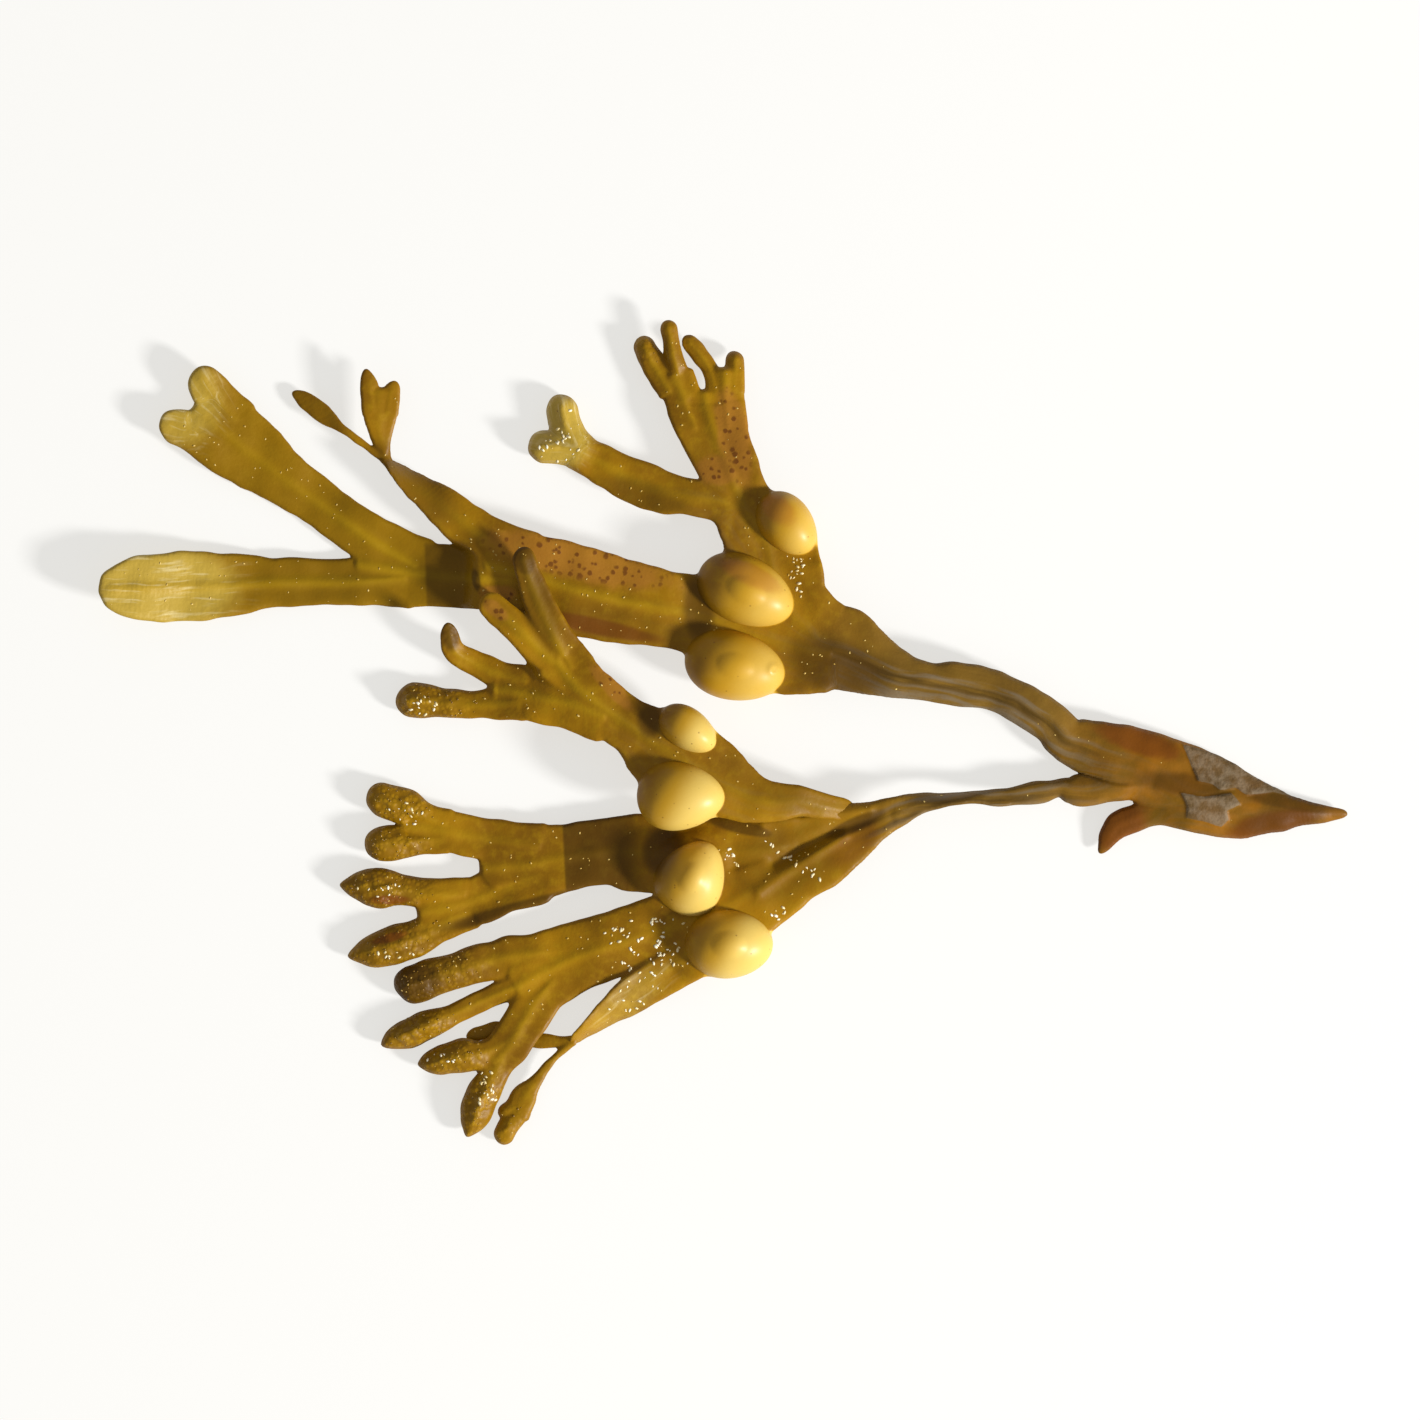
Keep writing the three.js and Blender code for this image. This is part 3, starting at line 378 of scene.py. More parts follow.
fanBranch = {
    "slot": "tips", "ribs": 0.7, "ripe": 1.0,
    "strands": {
        "blade": {"follows": "lowerFork.toFan", "rows": [(-14.5, -22.4, 2.0, 3.5),
            (-17.5, -23.8, 1.8, 3.6), (-20.2, -25.2, 1.7, 3.0)]},
        "lowerArm": {"rows": [(-17, -24.6, 1.8, 2.4), (-18.8, -27, 1.8, 2.3), (-20.2, -29.3, 1.9, 2.15),
            (-21.5, -31.5, 1.7, 2.0), (-22.9, -33, 1.5, 1.6)]},
        "firstTip": {"tip": 1.8, "rows": [(-16, -21.9, 1.9, 2.0), (-21, -22.4, 1.6, 2.0),
            (-25, -23.3, 1.4, 1.9, 0.8), (-28, -24.2, 1.3, 1.85, 1.1), (-30.5, -25.1, 1.35, 2.0, 1.35),
            (-33, -25.6, 1.25, 1.7, 1.25)]},
        "secondTip": {"tip": 2.8, "point": 1.55, "rows": [(-19.5, -25, 1.7, 1.2),
            (-23.5, -26.6, 1.45, 1.1), (-27, -28.2, 1.25, 1.1, 0.7), (-30, -29.5, 1.2, 1.5, 1.2),
            (-34.4, -31.4, 1.1, 1.3, 1.0)]},
        "thirdTip": {"tip": 2.6, "point": 1.55, "rows": [(-21.5, -31, 1.7, 1.4),
            (-24, -32.2, 1.4, 1.4, 0.8), (-26.5, -32.5, 1.3, 1.65, 1.3), (-30.8, -33.4, 1.15, 1.3, 1.0)]},
        "fourthTip": {"tip": 2.4, "point": 1.55, "rows": [(-22, -32, 1.6, 1.4),
            (-23.1, -34.5, 1.35, 1.4, 0.8), (-24.2, -36.5, 1.3, 1.75, 1.3),
            (-25.7, -40.6, 1.15, 1.3, 1.0)]},
    },
    "dark": [((-31.4, -25.4), (3.4, 2.4), 10)],
    "dew": [((-28.5, -32.8), (2.0, 1.2), 0), ((-23.6, -36), (1.0, 2.0), 15), ((-9.5, -20), (2.5, 1.0), 0)],
}
slenderBranch = {
    "slot": "blade", "ribs": 0.3, "ripe": 0.7, "yellow": 0.2, "fillet": 0.3,
    "strands": {
        "blade": {"follows": "lowerFork.toSlender", "tip": 1.0, "rows": [
            (-11.8, -28.2, 1.8, 1.8, 0.45, -44), (-13.7, -29.8, 1.5, 1.4, 0.4, -56),
            (-15.5, -31.15, 1.3, 0.9, 0.35, -58)]},
        "tuckedTip": {"tip": 1.0, "layer": "under", "rows": [(-14.9, -30.8, 1.3, 0.45, 0.35),
            (-17, -31.05, 0.85, 0.65, 0.35), (-20, -30.8, 0.55, 0.8, 0.35),
            (-22.5, -29.95, 0.55, 0.85, 0.4), (-25.7, -30.5, 0.6, 0.7, 0.4)]},
        "thread": {"layer": "under", "rows": [(-15.2, -31, 1.3, 0.45, 0.35),
            (-17.5, -33.2, 1.1, 0.4, 0.3), (-18.5, -34.5, 1.0, 0.5, 0.35),
            (-19.9, -36.4, 0.95, 1.25, 0.6), (-20.8, -38.2, 0.9, 1.3, 0.8)]},
        "longLobe": {"tip": 0.9, "layer": "under", "rows": [(-20.4, -37.8, 0.9, 1.0, 0.8),
            (-21.6, -39.5, 0.9, 1.1, 0.9), (-22.5, -41.2, 0.85, 0.9, 0.8)]},
        "shortLobe": {"tip": 0.7, "layer": "under", "rows": [(-20.5, -37.5, 0.9, 0.9, 0.8),
            (-21.6, -37.9, 0.9, 0.9, 0.85), (-22.7, -38.3, 0.85, 0.75, 0.75)]},
    },
    "pale": [((-9.5, -26.6), (5.6, 2.2), 38, 0.38)],
    "dew": [((-8.5, -25.6), (3.4, 1.6), 38)],
}
sprig = {
    "stipe": stipe, "upperStalk": upperStalk, "lowerStalk": lowerStalk, "upperFork": upperFork,
    "crownBranch": crownBranch, "clubBranch": clubBranch, "spottedBranch": spottedBranch,
    "twistedTwig": twistedTwig, "roundBlade": roundBlade, "notchedBlade": notchedBlade,
    "raisedFork": raisedFork, "crossingBranch": crossingBranch, "curledBranch": curledBranch,
    "lowerFork": lowerFork, "middleBranch": middleBranch, "fanBranch": fanBranch,
    "slenderBranch": slenderBranch,
}
pieceNames = list(sprig)
lookKeys = ("ribs", "ripe", "dry", "stem", "yellow", "foldLeft", "foldRight")


def solidName(name):
    return "".join("_" + c.lower() if c.isupper() else c for c in name)


# A strand that follows another carries on along the same path, so the growth is unbroken.
def grownStrands():
    byKey = {}
    grown = []
    for name, piece in sprig.items():
        for part, strand in piece["strands"].items():
            look = {**piece, **strand}
            if "follows" in strand:
                path = byKey[strand["follows"]]
                rows = strand["rows"]
            else:
                path = {
                    "rows": strand["rows"][:1], "pieces": [], "looks": [], "start": strand.get("start"),
                    "point": strand.get("point", sheet["roundPower"]), "layer": look.get("layer", "main")}
                rows = strand["rows"][1:]
                grown.append(path)
            path["rows"] += rows
            path["pieces"] += [pieceNames.index(name)] * len(rows)
            path["looks"] += [look] * len(rows)
            path["tip"] = strand.get("tip")
            byKey[name + "." + part] = path
    for path in grown:
        curve, span = alongRows(path["rows"])
        path["xy"] = curve[:, :2]
        path["z"] = curve[:, 2]
        path["roll"] = np.radians(curve[:, 5])
        path["wide"] = np.maximum(curve[:, 3], sheet["thinnest"]) * np.cos(path["roll"])
        path["thick"] = np.maximum(curve[:, 4], sheet["thinnest"])
        slope = np.gradient(path["xy"], axis=0)
        path["tangent"] = slope / np.linalg.norm(slope, axis=1)[:, None]
        path["normal"] = np.stack([-path["tangent"][:, 1], path["tangent"][:, 0]], 1)
        steps = np.linalg.norm(np.diff(path["xy"], axis=0), axis=1)
        path["run"] = np.concatenate([[0], np.cumsum(steps)])
        path["piece"] = np.array(path["pieces"])[span]
        path["fillet"] = path["looks"][0].get("fillet", sheet["fillet"])
        reach = int(sheet["blendReach"] / sheet["pathStep"])
        for key in lookKeys:
            raw = np.array([look.get(key, 0.0) for look in path["looks"]])[span]
            padded = np.pad(raw, reach, mode="edge")
            path[key] = np.convolve(padded, np.ones(2 * reach + 1) / (2 * reach + 1), "valid")
    return grown


def nearestOn(path, points):
    reach = path["wide"].max() + sheet["searchReach"]
    xy = path["xy"]
    inBox = (points > xy.min(0) - reach) & (points < xy.max(0) + reach)
    near = np.flatnonzero(inBox.all(1))
    hop = 8  # samples skipped in the first, coarse search
    batch = 20000  # points at a time, to spare memory
    first = np.zeros(len(near), int)
    for a in range(0, len(near), batch):
        gap = points[near[a:a + batch]][:, None] - xy[::hop][None]
        first[a:a + batch] = (gap ** 2).sum(2).argmin(1) * hop
    around = np.clip(first[:, None] + np.arange(-hop, hop + 1), 0, len(xy) - 1)
    gap = points[near][:, None] - xy[around]
    best = around[np.arange(len(near)), (gap ** 2).sum(2).argmin(1)]
    gap = points[near] - xy[best]
    ahead = (gap * path["tangent"][best]).sum(1)
    across = (gap * path["normal"][best]).sum(1)
    keep = np.hypot(ahead, across) < reach
    return near[keep], best[keep], ahead[keep], across[keep]


# How far inside a strand each point is, in mm, negative outside.
def insideStrand(path, best, ahead, across):
    wide = path["wide"][best]
    run = path["run"][best] + ahead
    q = across / wide
    for end, left in ((path["start"], run), (path["tip"], path["run"][-1] - run)):
        if end:
            power = path["point"]
            q = (np.abs(q) ** power + np.maximum(1 - left / end, 0) ** power) ** (1 / power)
        else:
            q = np.hypot(q, 2.5 * np.maximum(-left, 0) / wide)
    return wide * (1 - np.abs(q)), run


# Places in a turned oval's own axes, in its half sizes.
def ovalPlaces(points, middle, half, turn):
    c, s = math.cos(math.radians(turn)), math.sin(math.radians(turn))
    gap = points - np.array(middle[:2])
    return (gap[:, 0] * c + gap[:, 1] * s) / half[0], (-gap[:, 0] * s + gap[:, 1] * c) / half[1]


# 0 at a bladder's middle, 1 at its outline.
def overBladder(points, bladder):
    middle, half, turn, taper = bladder
    x, y = ovalPlaces(points, middle, half, turn)
    return np.hypot(x, y / (1 - taper * np.clip(x, -1, 1)))


def layerBladders(layer):
    found = []
    for number, name in enumerate(pieceNames):
        piece = sprig[name]
        if piece.get("layer", "main") == layer:
            found += [(number, b) for b in piece.get("bladders", [])]
    return found


# Depth inside the layer's outline, and at the asked points everything that the surface needs.
def readLayer(points, layer, strands, full):
    depth = np.full(len(points), -9.0)
    best = np.full(len(points), -9.0)
    owner = np.zeros(len(points), int)
    reads = []
    for path in strands:
        near, sample, ahead, across = nearestOn(path, points)
        inside, run = insideStrand(path, sample, ahead, across)
        fade = np.clip(1 - run / sheet["filletReach"], 0, 1)
        depth[near] = softMax(depth[near], inside, 0.05 + path["fillet"] * fade)
        wins = inside > best[near]
        owner[near[wins]] = path["piece"][sample[wins]]
        best[near] = np.maximum(best[near], inside)
        reads.append((path, near, sample, across, inside, run))
    wave = ripple(points, 5.5, sheet["seed"]) + 0.5 * ripple(points, 2.2, sheet["seed"] + 1)
    depth += sheet["marginWave"] * wave * (depth > -2)
    blade = depth.copy()
    for number, bladder in layerBladders(layer):
        rho = overBladder(points, bladder)
        inside = (1 - rho) * bladder[1][1]
        depth = softMax(depth, inside, bladderForm["blend"])
        wins = inside > best
        owner[wins] = number
        best = np.maximum(best, inside)
    if not full:
        return depth
    copied = ("wide", "thick", "ripe", "dry", "stem", "yellow")
    keys = ("weight", "z", "rib", "along", "across", "lean") + copied
    sums = {k: np.zeros(len(points)) for k in keys}
    for path, near, sample, across, inside, run in reads:
        weight = np.exp(np.clip(sheet["strandGrip"] * (inside - best[near]), -30, 0))
        rib = np.exp(-(across / sheet["ribWidth"]) ** 2) * path["ribs"][sample]
        lean = np.tan(path["roll"][sample])
        side = np.hypot(across, sheet["foldRound"]) - sheet["foldRound"]
        fold = np.where(across > 0, path["foldLeft"][sample], path["foldRight"][sample])
        z = path["z"][sample] + across * lean + side * np.tan(np.radians(fold))
        values = {key: path[key][sample] for key in copied}
        values.update({"weight": 1.0, "z": z, "rib": rib * smoothStep(inside, 0.2, 1.2), "along": run,
                       "across": across, "lean": np.abs(lean)})
        for key, value in values.items():
            sums[key][near] += weight * value
    weight = np.maximum(sums.pop("weight"), 1e-9)
    read = {k: v / weight for k, v in sums.items()}
    read["depth"] = depth
    read["blade"] = blade  # the same without the bladders
    read["owner"] = owner
    return read


def triangleNet(low, high, spacing):
    nx = int((high[0] - low[0]) / spacing) + 2
    ny = int((high[1] - low[1]) / (spacing * sheet["rowHeight"])) + 2
    ix, iy = np.meshgrid(np.arange(nx), np.arange(ny))
    x = low[0] + (ix + 0.5 * (iy % 2)) * spacing
    y = low[1] + iy * spacing * sheet["rowHeight"]
    points = np.stack([x.ravel(), y.ravel()], 1)
    a = (iy * nx + ix)[:-1, :-1]
    even = (iy % 2 == 0)[:-1, :-1]
    b, c, d = a + 1, a + nx, a + nx + 1
    tris = np.concatenate([
        np.stack([a, b, c], 2)[even], np.stack([b, d, c], 2)[even],
        np.stack([a, b, d], 2)[~even], np.stack([a, d, c], 2)[~even]])
    return points, tris


def directedEdges(tris):
    return np.concatenate([tris[:, [0, 1]], tris[:, [1, 2]], tris[:, [2, 0]]])


# Moves net points that are close to the outline onto it, then cuts the triangles that still cross it.
def cutNet(points, tris, depth):
    snap = 0.36  # share of an edge within which its end is moved
    tris = tris[(depth[tris] > 0).any(1)]
    edges = directedEdges(tris)
    edges = edges[(depth[edges[:, 0]] > 0) & (depth[edges[:, 1]] <= 0)]
    a, b = edges.T
    t = depth[a] / (depth[a] - depth[b])
    cross = points[a] + t[:, None] * (points[b] - points[a])
    points = points.copy()
    depth = depth.copy()
    for end, share in ((a, t), (b, 1 - t)):
        order = np.argsort(-share)
        order = order[share[order] < snap]
        points[end[order]] = cross[order]
        depth[end[order]] = 0
    sign = np.sign(depth)
    s = sign[tris]
    plus, minus = (s > 0).sum(1), (s < 0).sum(1)
    made = [tris[(minus == 0) & (plus > 0)]]
    newPoints = [points]
    cuts = {}
    total = len(points)

    def cutPoint(p, q):
        nonlocal total
        key = (min(p, q), max(p, q))
        if key not in cuts:
            share = depth[p] / (depth[p] - depth[q])
            newPoints.append((points[p] + share * (points[q] - points[p]))[None])
            cuts[key] = total
            total += 1
        return cuts[key]

    extra = []
    for tri in tris[(plus > 0) & (minus > 0)]:
        outline = []
        for i in range(3):
            p, q = int(tri[i]), int(tri[(i + 1) % 3])
            if sign[p] >= 0:
                outline.append(p)
            if sign[p] * sign[q] < 0:
                outline.append(cutPoint(p, q) if sign[p] > 0 else cutPoint(q, p))
        for i in range(1, len(outline) - 1):
            extra.append((outline[0], outline[i], outline[i + 1]))
    made.append(np.array(extra, int).reshape(-1, 3))
    tris = np.concatenate(made)
    points = np.concatenate(newPoints)
    used, tris = np.unique(tris, return_inverse=True)
    return points[used], tris.reshape(-1, 3)


def outlineEdges(tris):
    edges = directedEdges(tris)
    size = tris.max() + 1
    forward = edges[:, 0] * size + edges[:, 1]
    backward = edges[:, 1] * size + edges[:, 0]
    return edges[~np.isin(forward, backward)]


def toSegment(points, a, b):
    a, b = np.array(a, float), np.array(b, float)
    t = np.clip(((points - a) @ (b - a)) / ((b - a) @ (b - a)), 0, 1)
    return np.linalg.norm(points - a - t[:, None] * (b - a), axis=1)


def insideOutline(points, outline):
    odd = np.zeros(len(points), bool)
    gap = np.full(len(points), 99.0)
    for a, b in zip(outline, outline[1:] + outline[:1]):
        gap = np.minimum(gap, toSegment(points, a, b))
        if a[1] != b[1]:
            spans = (points[:, 1] < a[1]) != (points[:, 1] < b[1])
            odd ^= spans & (points[:, 0] < a[0] + (points[:, 1] - a[1]) * (b[0] - a[0]) / (b[1] - a[1]))
    return np.where(odd, gap, -gap)


# A zone is a soft oval (middle, half sizes, turn, strength if not whole), the corners of a crisp outline,
# or a band with one crisp edge.
def softZone(points, zones):
    total = np.zeros(len(points))
    for zone in zones:
        if isinstance(zone, list):
            total = np.maximum(total, smoothStep(insideOutline(points, zone), -0.15, 0.2))
            continue
        # A band is a painted cast shadow with one crisp edge.
        if isinstance(zone, dict):  # the band fades to the right of its edge
            (ax, ay), (bx, by) = zone["edge"]
            length = math.hypot(bx - ax, by - ay)
            gap = points - np.array((ax, ay))
            right = (gap[:, 0] * (by - ay) - gap[:, 1] * (bx - ax)) / length
            within = (gap[:, 0] * (bx - ax) + gap[:, 1] * (by - ay)) / length
            band = smoothStep(right, -0.2, 0.25)
            band *= 1 - smoothStep(right, 0.55 * zone["fade"], zone["fade"])
            band *= smoothStep(within, -0.5, 0.5) * smoothStep(length - within, -0.5, 0.5)
            total = np.maximum(total, zone["strength"] * band)
            continue
        middle, half, turn, *share = zone
        x, y = ovalPlaces(points, middle, half, turn)
        strength = share[0] if share else 1.0
        total = np.maximum(total, strength * (1 - smoothStep(np.hypot(x, y), 0.5, 1.35)))
    return total


zoneKeys = ("rust", "pale", "dark", "red", "blush", "crust", "dew")


# Builds one layer and returns the mesh of each piece in it.
def growLayer(layer, strands):
    strands = [p for p in strands if p["layer"] == layer]
    edge = [p["xy"] + s * p["wide"].max() for p in strands for s in (-1, 1)]
    edge += [np.array([b[0][:2]]) + s * b[1][0] for _, b in layerBladders(layer) for s in (-1, 1)]
    edge = np.concatenate(edge)
    net, tris = triangleNet(edge.min(0) - 1, edge.max(0) + 1, sheet["spacing"])
    points, tris = cutNet(net, tris, readLayer(net, layer, strands, False))
    read = readLayer(points, layer, strands, True)
    margin = np.zeros(len(points), bool)
    margin[outlineEdges(tris).ravel()] = True

    own = [sprig[n] for n in pieceNames if sprig[n].get("layer", "main") == layer]
    zones = {}
    for key in zoneKeys:
        zones[key] = softZone(points, [z for piece in own for z in piece.get(key, [])])
    owner = read["owner"]
    ripe = read["ripe"]
    swell = smoothStep(read["thick"], 0.6, 1.0)
    depth = np.maximum(read["depth"], 0)
    q = np.clip(1 - depth / np.maximum(read["wide"], 0.2), 0, 1)
    power = 2 + (1 - swell) * np.clip(3 * read["wide"] - 2, 0.5, 10)
    bulge = np.sqrt(np.maximum(1 - q ** power, 0))
    half = read["thick"] * (sheet["thickness"] + (1 - sheet["thickness"]) * swell) * bulge
    half += sheet["ribHeight"] * read["rib"] * bulge
    half *= np.sqrt(1 + np.minimum(read["lean"], 1.7) ** 2)
    half += sheet["lumps"] * ripe * swell * bulge * ripple(points, 1.1, sheet["seed"] + 4)
    mid = read["z"] + sheet["sway"] * ripple(points, 10, sheet["seed"] + 2)
    mid += 0.04 * ripple(points, 4, sheet["seed"] + 3)
    across = read["across"]
    wander = across + 0.3 * ripple(points, 8, sheet["seed"] + 5)
    mid += read["dry"] * sheet["ridge"] * np.exp(-((wander + 0.3) / sheet["ridgeWidth"]) ** 2)
    mid -= read["dry"] * sheet["groove"] * np.exp(-((wander - 0.5) / sheet["ridgeWidth"]) ** 2)
    half += sheet["crustHeight"] * zones["crust"]
    for piece in own:
        for path, deep, width in piece.get("creases", []):
            gap = np.min([toSegment(points, a, b) for a, b in zip(path, path[1:])], 0)
            mid -= deep * np.exp(-(gap / width) ** 2)

    place = points.copy()
    onBladder = np.zeros(len(points))
    paintedLitOchre = np.zeros(len(points))
    for number, bladder in layerBladders(layer):
        middle, size, turn, taper = bladder
        darker = 1 - bladderForm["oliveShare"] * sprig[pieceNames[number]].get("olive", 0.0)
        rho = overBladder(points, bladder)
        near = rho < 1.6
        pull = 1 - smoothStep(rho, *bladderForm["pull"])
        mid = mid * (1 - pull) + middle[2] * pull
        dome = np.where(rho < 1, np.cos(np.clip(rho, 0, 1) * math.pi / 2), -(rho - 1) * 1.5) * size[2]
        lean = bladderForm["lightTurn"]
        away = (middle[0] - points[:, 0]) / size[0] + lean * (points[:, 1] - middle[1]) / size[1]
        foot = bladderForm["foot"] + bladderForm["softFoot"] * smoothStep(away, 0.1, 0.9)
        half[near] = softMax(half[near], dome[near], foot[near])
        inside = (rho < 1) & (rho > 1e-6)
        grow = np.sin(rho[inside] * math.pi / 2) / rho[inside]
        place[inside] = np.array(middle[:2]) + (points[inside] - np.array(middle[:2])) * grow[:, None]
        bare = smoothStep(-read["blade"], -0.6, 0.3)  # where the bladder stands clear of the blade
        cover = 1 - smoothStep(rho - 0.25 * bare, *bladderForm["rim"])
        onBladder = np.maximum(onBladder, cover)
        # Painted light: the bladder's colour runs from the blade's olive on the side away from the key
        # light to pale ochre on the side toward it.
        sunward = (place[:, 0] - middle[0]) / size[0] - lean * (place[:, 1] - middle[1]) / size[1]
        paintedLitOchre = np.maximum(paintedLitOchre, cover * (0.05 + 0.95 * smoothStep(sunward, -1.1, 0.75)) * darker)
    for piece in own:
        for middle, radius, height in piece.get("nubs", []):
            gap = np.linalg.norm(place - np.array(middle), axis=1)
            half += height * (np.exp(-(gap / radius) ** 2) - 0.8 * np.exp(-(gap / radius * 2.2) ** 2))
    half[margin] = 0
    mid = np.maximum(mid, half)

    top = np.column_stack([place, mid + half])
    low = np.column_stack([place, mid - half])
    under = np.arange(len(points))
    under[~margin] = len(points) + np.arange((~margin).sum())
    spots = np.concatenate([top, low[~margin]])
    whole = np.concatenate([tris, under[tris][:, ::-1]])
    a, b, c = spots[whole[:, 0]], spots[whole[:, 1]], spots[whole[:, 2]]
    face = np.cross(b - a, c - a)
    normals = np.zeros_like(spots)
    for i in range(3):
        np.add.at(normals, whole[:, i], face)
    normals /= np.maximum(np.linalg.norm(normals, axis=1), 1e-12)[:, None]
    normals[np.flatnonzero(margin)] += (0, 0, sheet["marginLift"])
    normals /= np.maximum(np.linalg.norm(normals, axis=1), 1e-12)[:, None]

    marks = {
        "bladder": onBladder, "paintedLitOchre": paintedLitOchre, "tip": ripe * swell, "rib": np.clip(read["rib"], 0, 1),
        "depth": depth, "along": read["along"], "across": across, "dry": read["dry"] * (1 - onBladder),
        "stem": read["stem"], "yellow": read["yellow"], **zones,
    }
    clear = smoothStep(depth, 0.15, 0.4) * (1 - onBladder) * (1 - 0.8 * read["stem"])
    marks["hairs"] = clear * (1 - 0.7 * read["dry"])
    # Beads go where the blades glint: their near-white colour is a painted glint.
    marks["beads"] = clear * zones["dew"]
    marks["pits"] = marks["tip"] * smoothStep(depth, 0.1, 0.3)
    marks = {k: np.concatenate([v, v[~margin]]) for k, v in marks.items()}

    label = np.sort(owner[tris], 1)[:, 1]
    outer = {tuple(e) for e in outlineEdges(tris)}
    meshes = {}
    for number in np.unique(label):
        own = tris[label == number]
        walls = []
        for p, r in outlineEdges(own):
            if (p, r) in outer:
                continue
            ring = [r, p, under[p], under[r]]
            walls.append([v for i, v in enumerate(ring) if v != ring[i - 1]])
        meshes[pieceNames[number]] = (own, under[own][:, ::-1], walls, spots, normals, marks)
    print(layer, "layer:", len(points), "points,", len(tris), "triangles,", len(meshes), "pieces")
    return meshes


# One mesh of a piece's parts, or of their upper faces alone.
def meshOf(name, parts, topOnly=False):
    faces = []
    spots = []
    normals = []
    marks = {}
    base = 0
    for own, below, walls, allSpots, allNormals, allMarks in parts:
        ring = own.tolist() if topOnly else own.tolist() + below.tolist() + walls
        used = np.unique(own if topOnly else np.concatenate([own, below]))
        lookup = np.full(len(allSpots), -1)
        lookup[used] = np.arange(len(used)) + base
        faces += [[int(lookup[v]) for v in r] for r in ring if len(r) > 2]
        spots.append(allSpots[used])
        normals.append(allNormals[used])
        for key, value in allMarks.items():
            marks.setdefault(key, []).append(value[used])
        base += len(used)
    mesh = bpy.data.meshes.new(name)
    mesh.from_pydata((np.concatenate(spots) * mm).tolist(), [], faces)
    if not topOnly:
        mesh.shade_smooth()
        mesh.normals_split_custom_set_from_vertices(np.concatenate(normals).tolist())
    for key, value in marks.items():
        layer = mesh.attributes.new(key, "FLOAT", "POINT")
        layer.data.foreach_set("value", np.concatenate(value).astype(np.float32))
    return mesh


# A shader value, so that node maths reads as sums.
class Wire:
    def __init__(self, paint, socket):
        self.paint = paint
        self.socket = socket

    def __add__(self, other):
        return self.paint.math("ADD", self, other)

    def __sub__(self, other):
        return self.paint.math("SUBTRACT", self, other)

    def __rsub__(self, other):
        return self.paint.math("SUBTRACT", other, self)

    def __mul__(self, other):
        return self.paint.math("MULTIPLY", self, other)

    __radd__ = __add__
    __rmul__ = __mul__


def addNode(tree, kind, settings=None, sockets=None):
    made = tree.nodes.new(kind)
    for key, value in (settings or {}).items():
        setattr(made, key, value)
    for key, value in (sockets or {}).items():
        if isinstance(value, Wire):
            value = value.socket
        if isinstance(value, bpy.types.NodeSocket):
            tree.links.new(value, made.inputs[key])
        else:
            made.inputs[key].default_value = value
    return made


class Paint:
    def __init__(self, name):
        self.material = bpy.data.materials.new(name)
        self.material.use_nodes = True
        self.tree = self.material.node_tree
        self.tree.nodes.clear()

    def node(self, kind, settings=None, sockets=None, output=0):
        made = addNode(self.tree, kind, settings, sockets)
        return Wire(self, made.outputs[output]) if len(made.outputs) else made

    def math(self, operation, a, b):
        return self.node("ShaderNodeMath", {"operation": operation}, {0: a, 1: b})

    def mix(self, share, a, b):
        return self.node("ShaderNodeMix", {"data_type": "RGBA"}, {0: share, 6: a, 7: b}, 2)

    def step(self, value, low, high):
        return self.node("ShaderNodeMapRange", {"interpolation_type": "SMOOTHSTEP"},
                         {"Value": value, "From Min": low, "From Max": high})

    def mark(self, name):
        return self.node("ShaderNodeAttribute", {"attribute_name": name}, None, "Fac")

    def noise(self, place, size, detail=2.0):
        return self.node("ShaderNodeTexNoise", None, {
            "Vector": place, "Scale": 1 / (size * mm), "Detail": detail})

    def cells(self, place, size):
        return self.node("ShaderNodeTexVoronoi", None, {"Vector": place, "Scale": 1 / (size * mm)})


def tone(r, g, b):
    return tuple(v / 12.92 if v <= 0.04045 else ((v + 0.055) / 1.055) ** 2.4
                 for v in (r / 255, g / 255, b / 255)) + (1.0,)


skin = {
    "deep": tone(120, 81, 1), "main": tone(157, 112, 1), "bright": tone(166, 128, 3),
    "yellow": tone(138, 103, 1), "pale": tone(184, 154, 56), "rib": tone(170, 134, 8),
    "edge": tone(98, 64, 1),
    # The dark colour, last on the next line, is painted shade.
    "rust": tone(156, 103, 30), "spot": tone(88, 42, 8), "red": tone(112, 58, 4), "dark": tone(66, 41, 1),
    "tipDark": tone(112, 78, 2), "tipLight": tone(152, 114, 10),
    # The two bladder ochres on the next line are their shaded and lit sides: painted light.
    "paintedLitOchre": tone(210, 178, 88), "ochreDeep": tone(192, 145, 28), "blush": tone(166, 96, 30),
    "stem": tone(142, 90, 6), "stemDeep": tone(106, 74, 4),
    # The groove colour on the next line is painted shade; the grey is partly painted sheen.
    "stalk": tone(104, 78, 26), "groove": tone(68, 48, 10), "grey": tone(116, 100, 76),
    # The pale streak colour, last on the next line, is painted sheen.
    "crust": tone(120, 104, 82), "crustDeep": tone(90, 72, 46), "paintedSheen": tone(226, 210, 156),
    "cloudSize": 7.0, "fineSize": 0.9, "grainSize": 0.28, "blotSize": 1.6, "woodSize": 3.5,  # mm
    "pitSize": 0.5, "streakSize": 0.5, "rustSpotSize": 0.8, "mottleSize": 2.6, "freckleSize": 1.1,
    "streakPace": 0.12,  # how slowly a streak changes along its blade
    "specular": 0.16, "roughness": 0.46, "coatRoughness": 0.34, "bump": 0.45, "bumpDepth": 0.12 * mm,
}


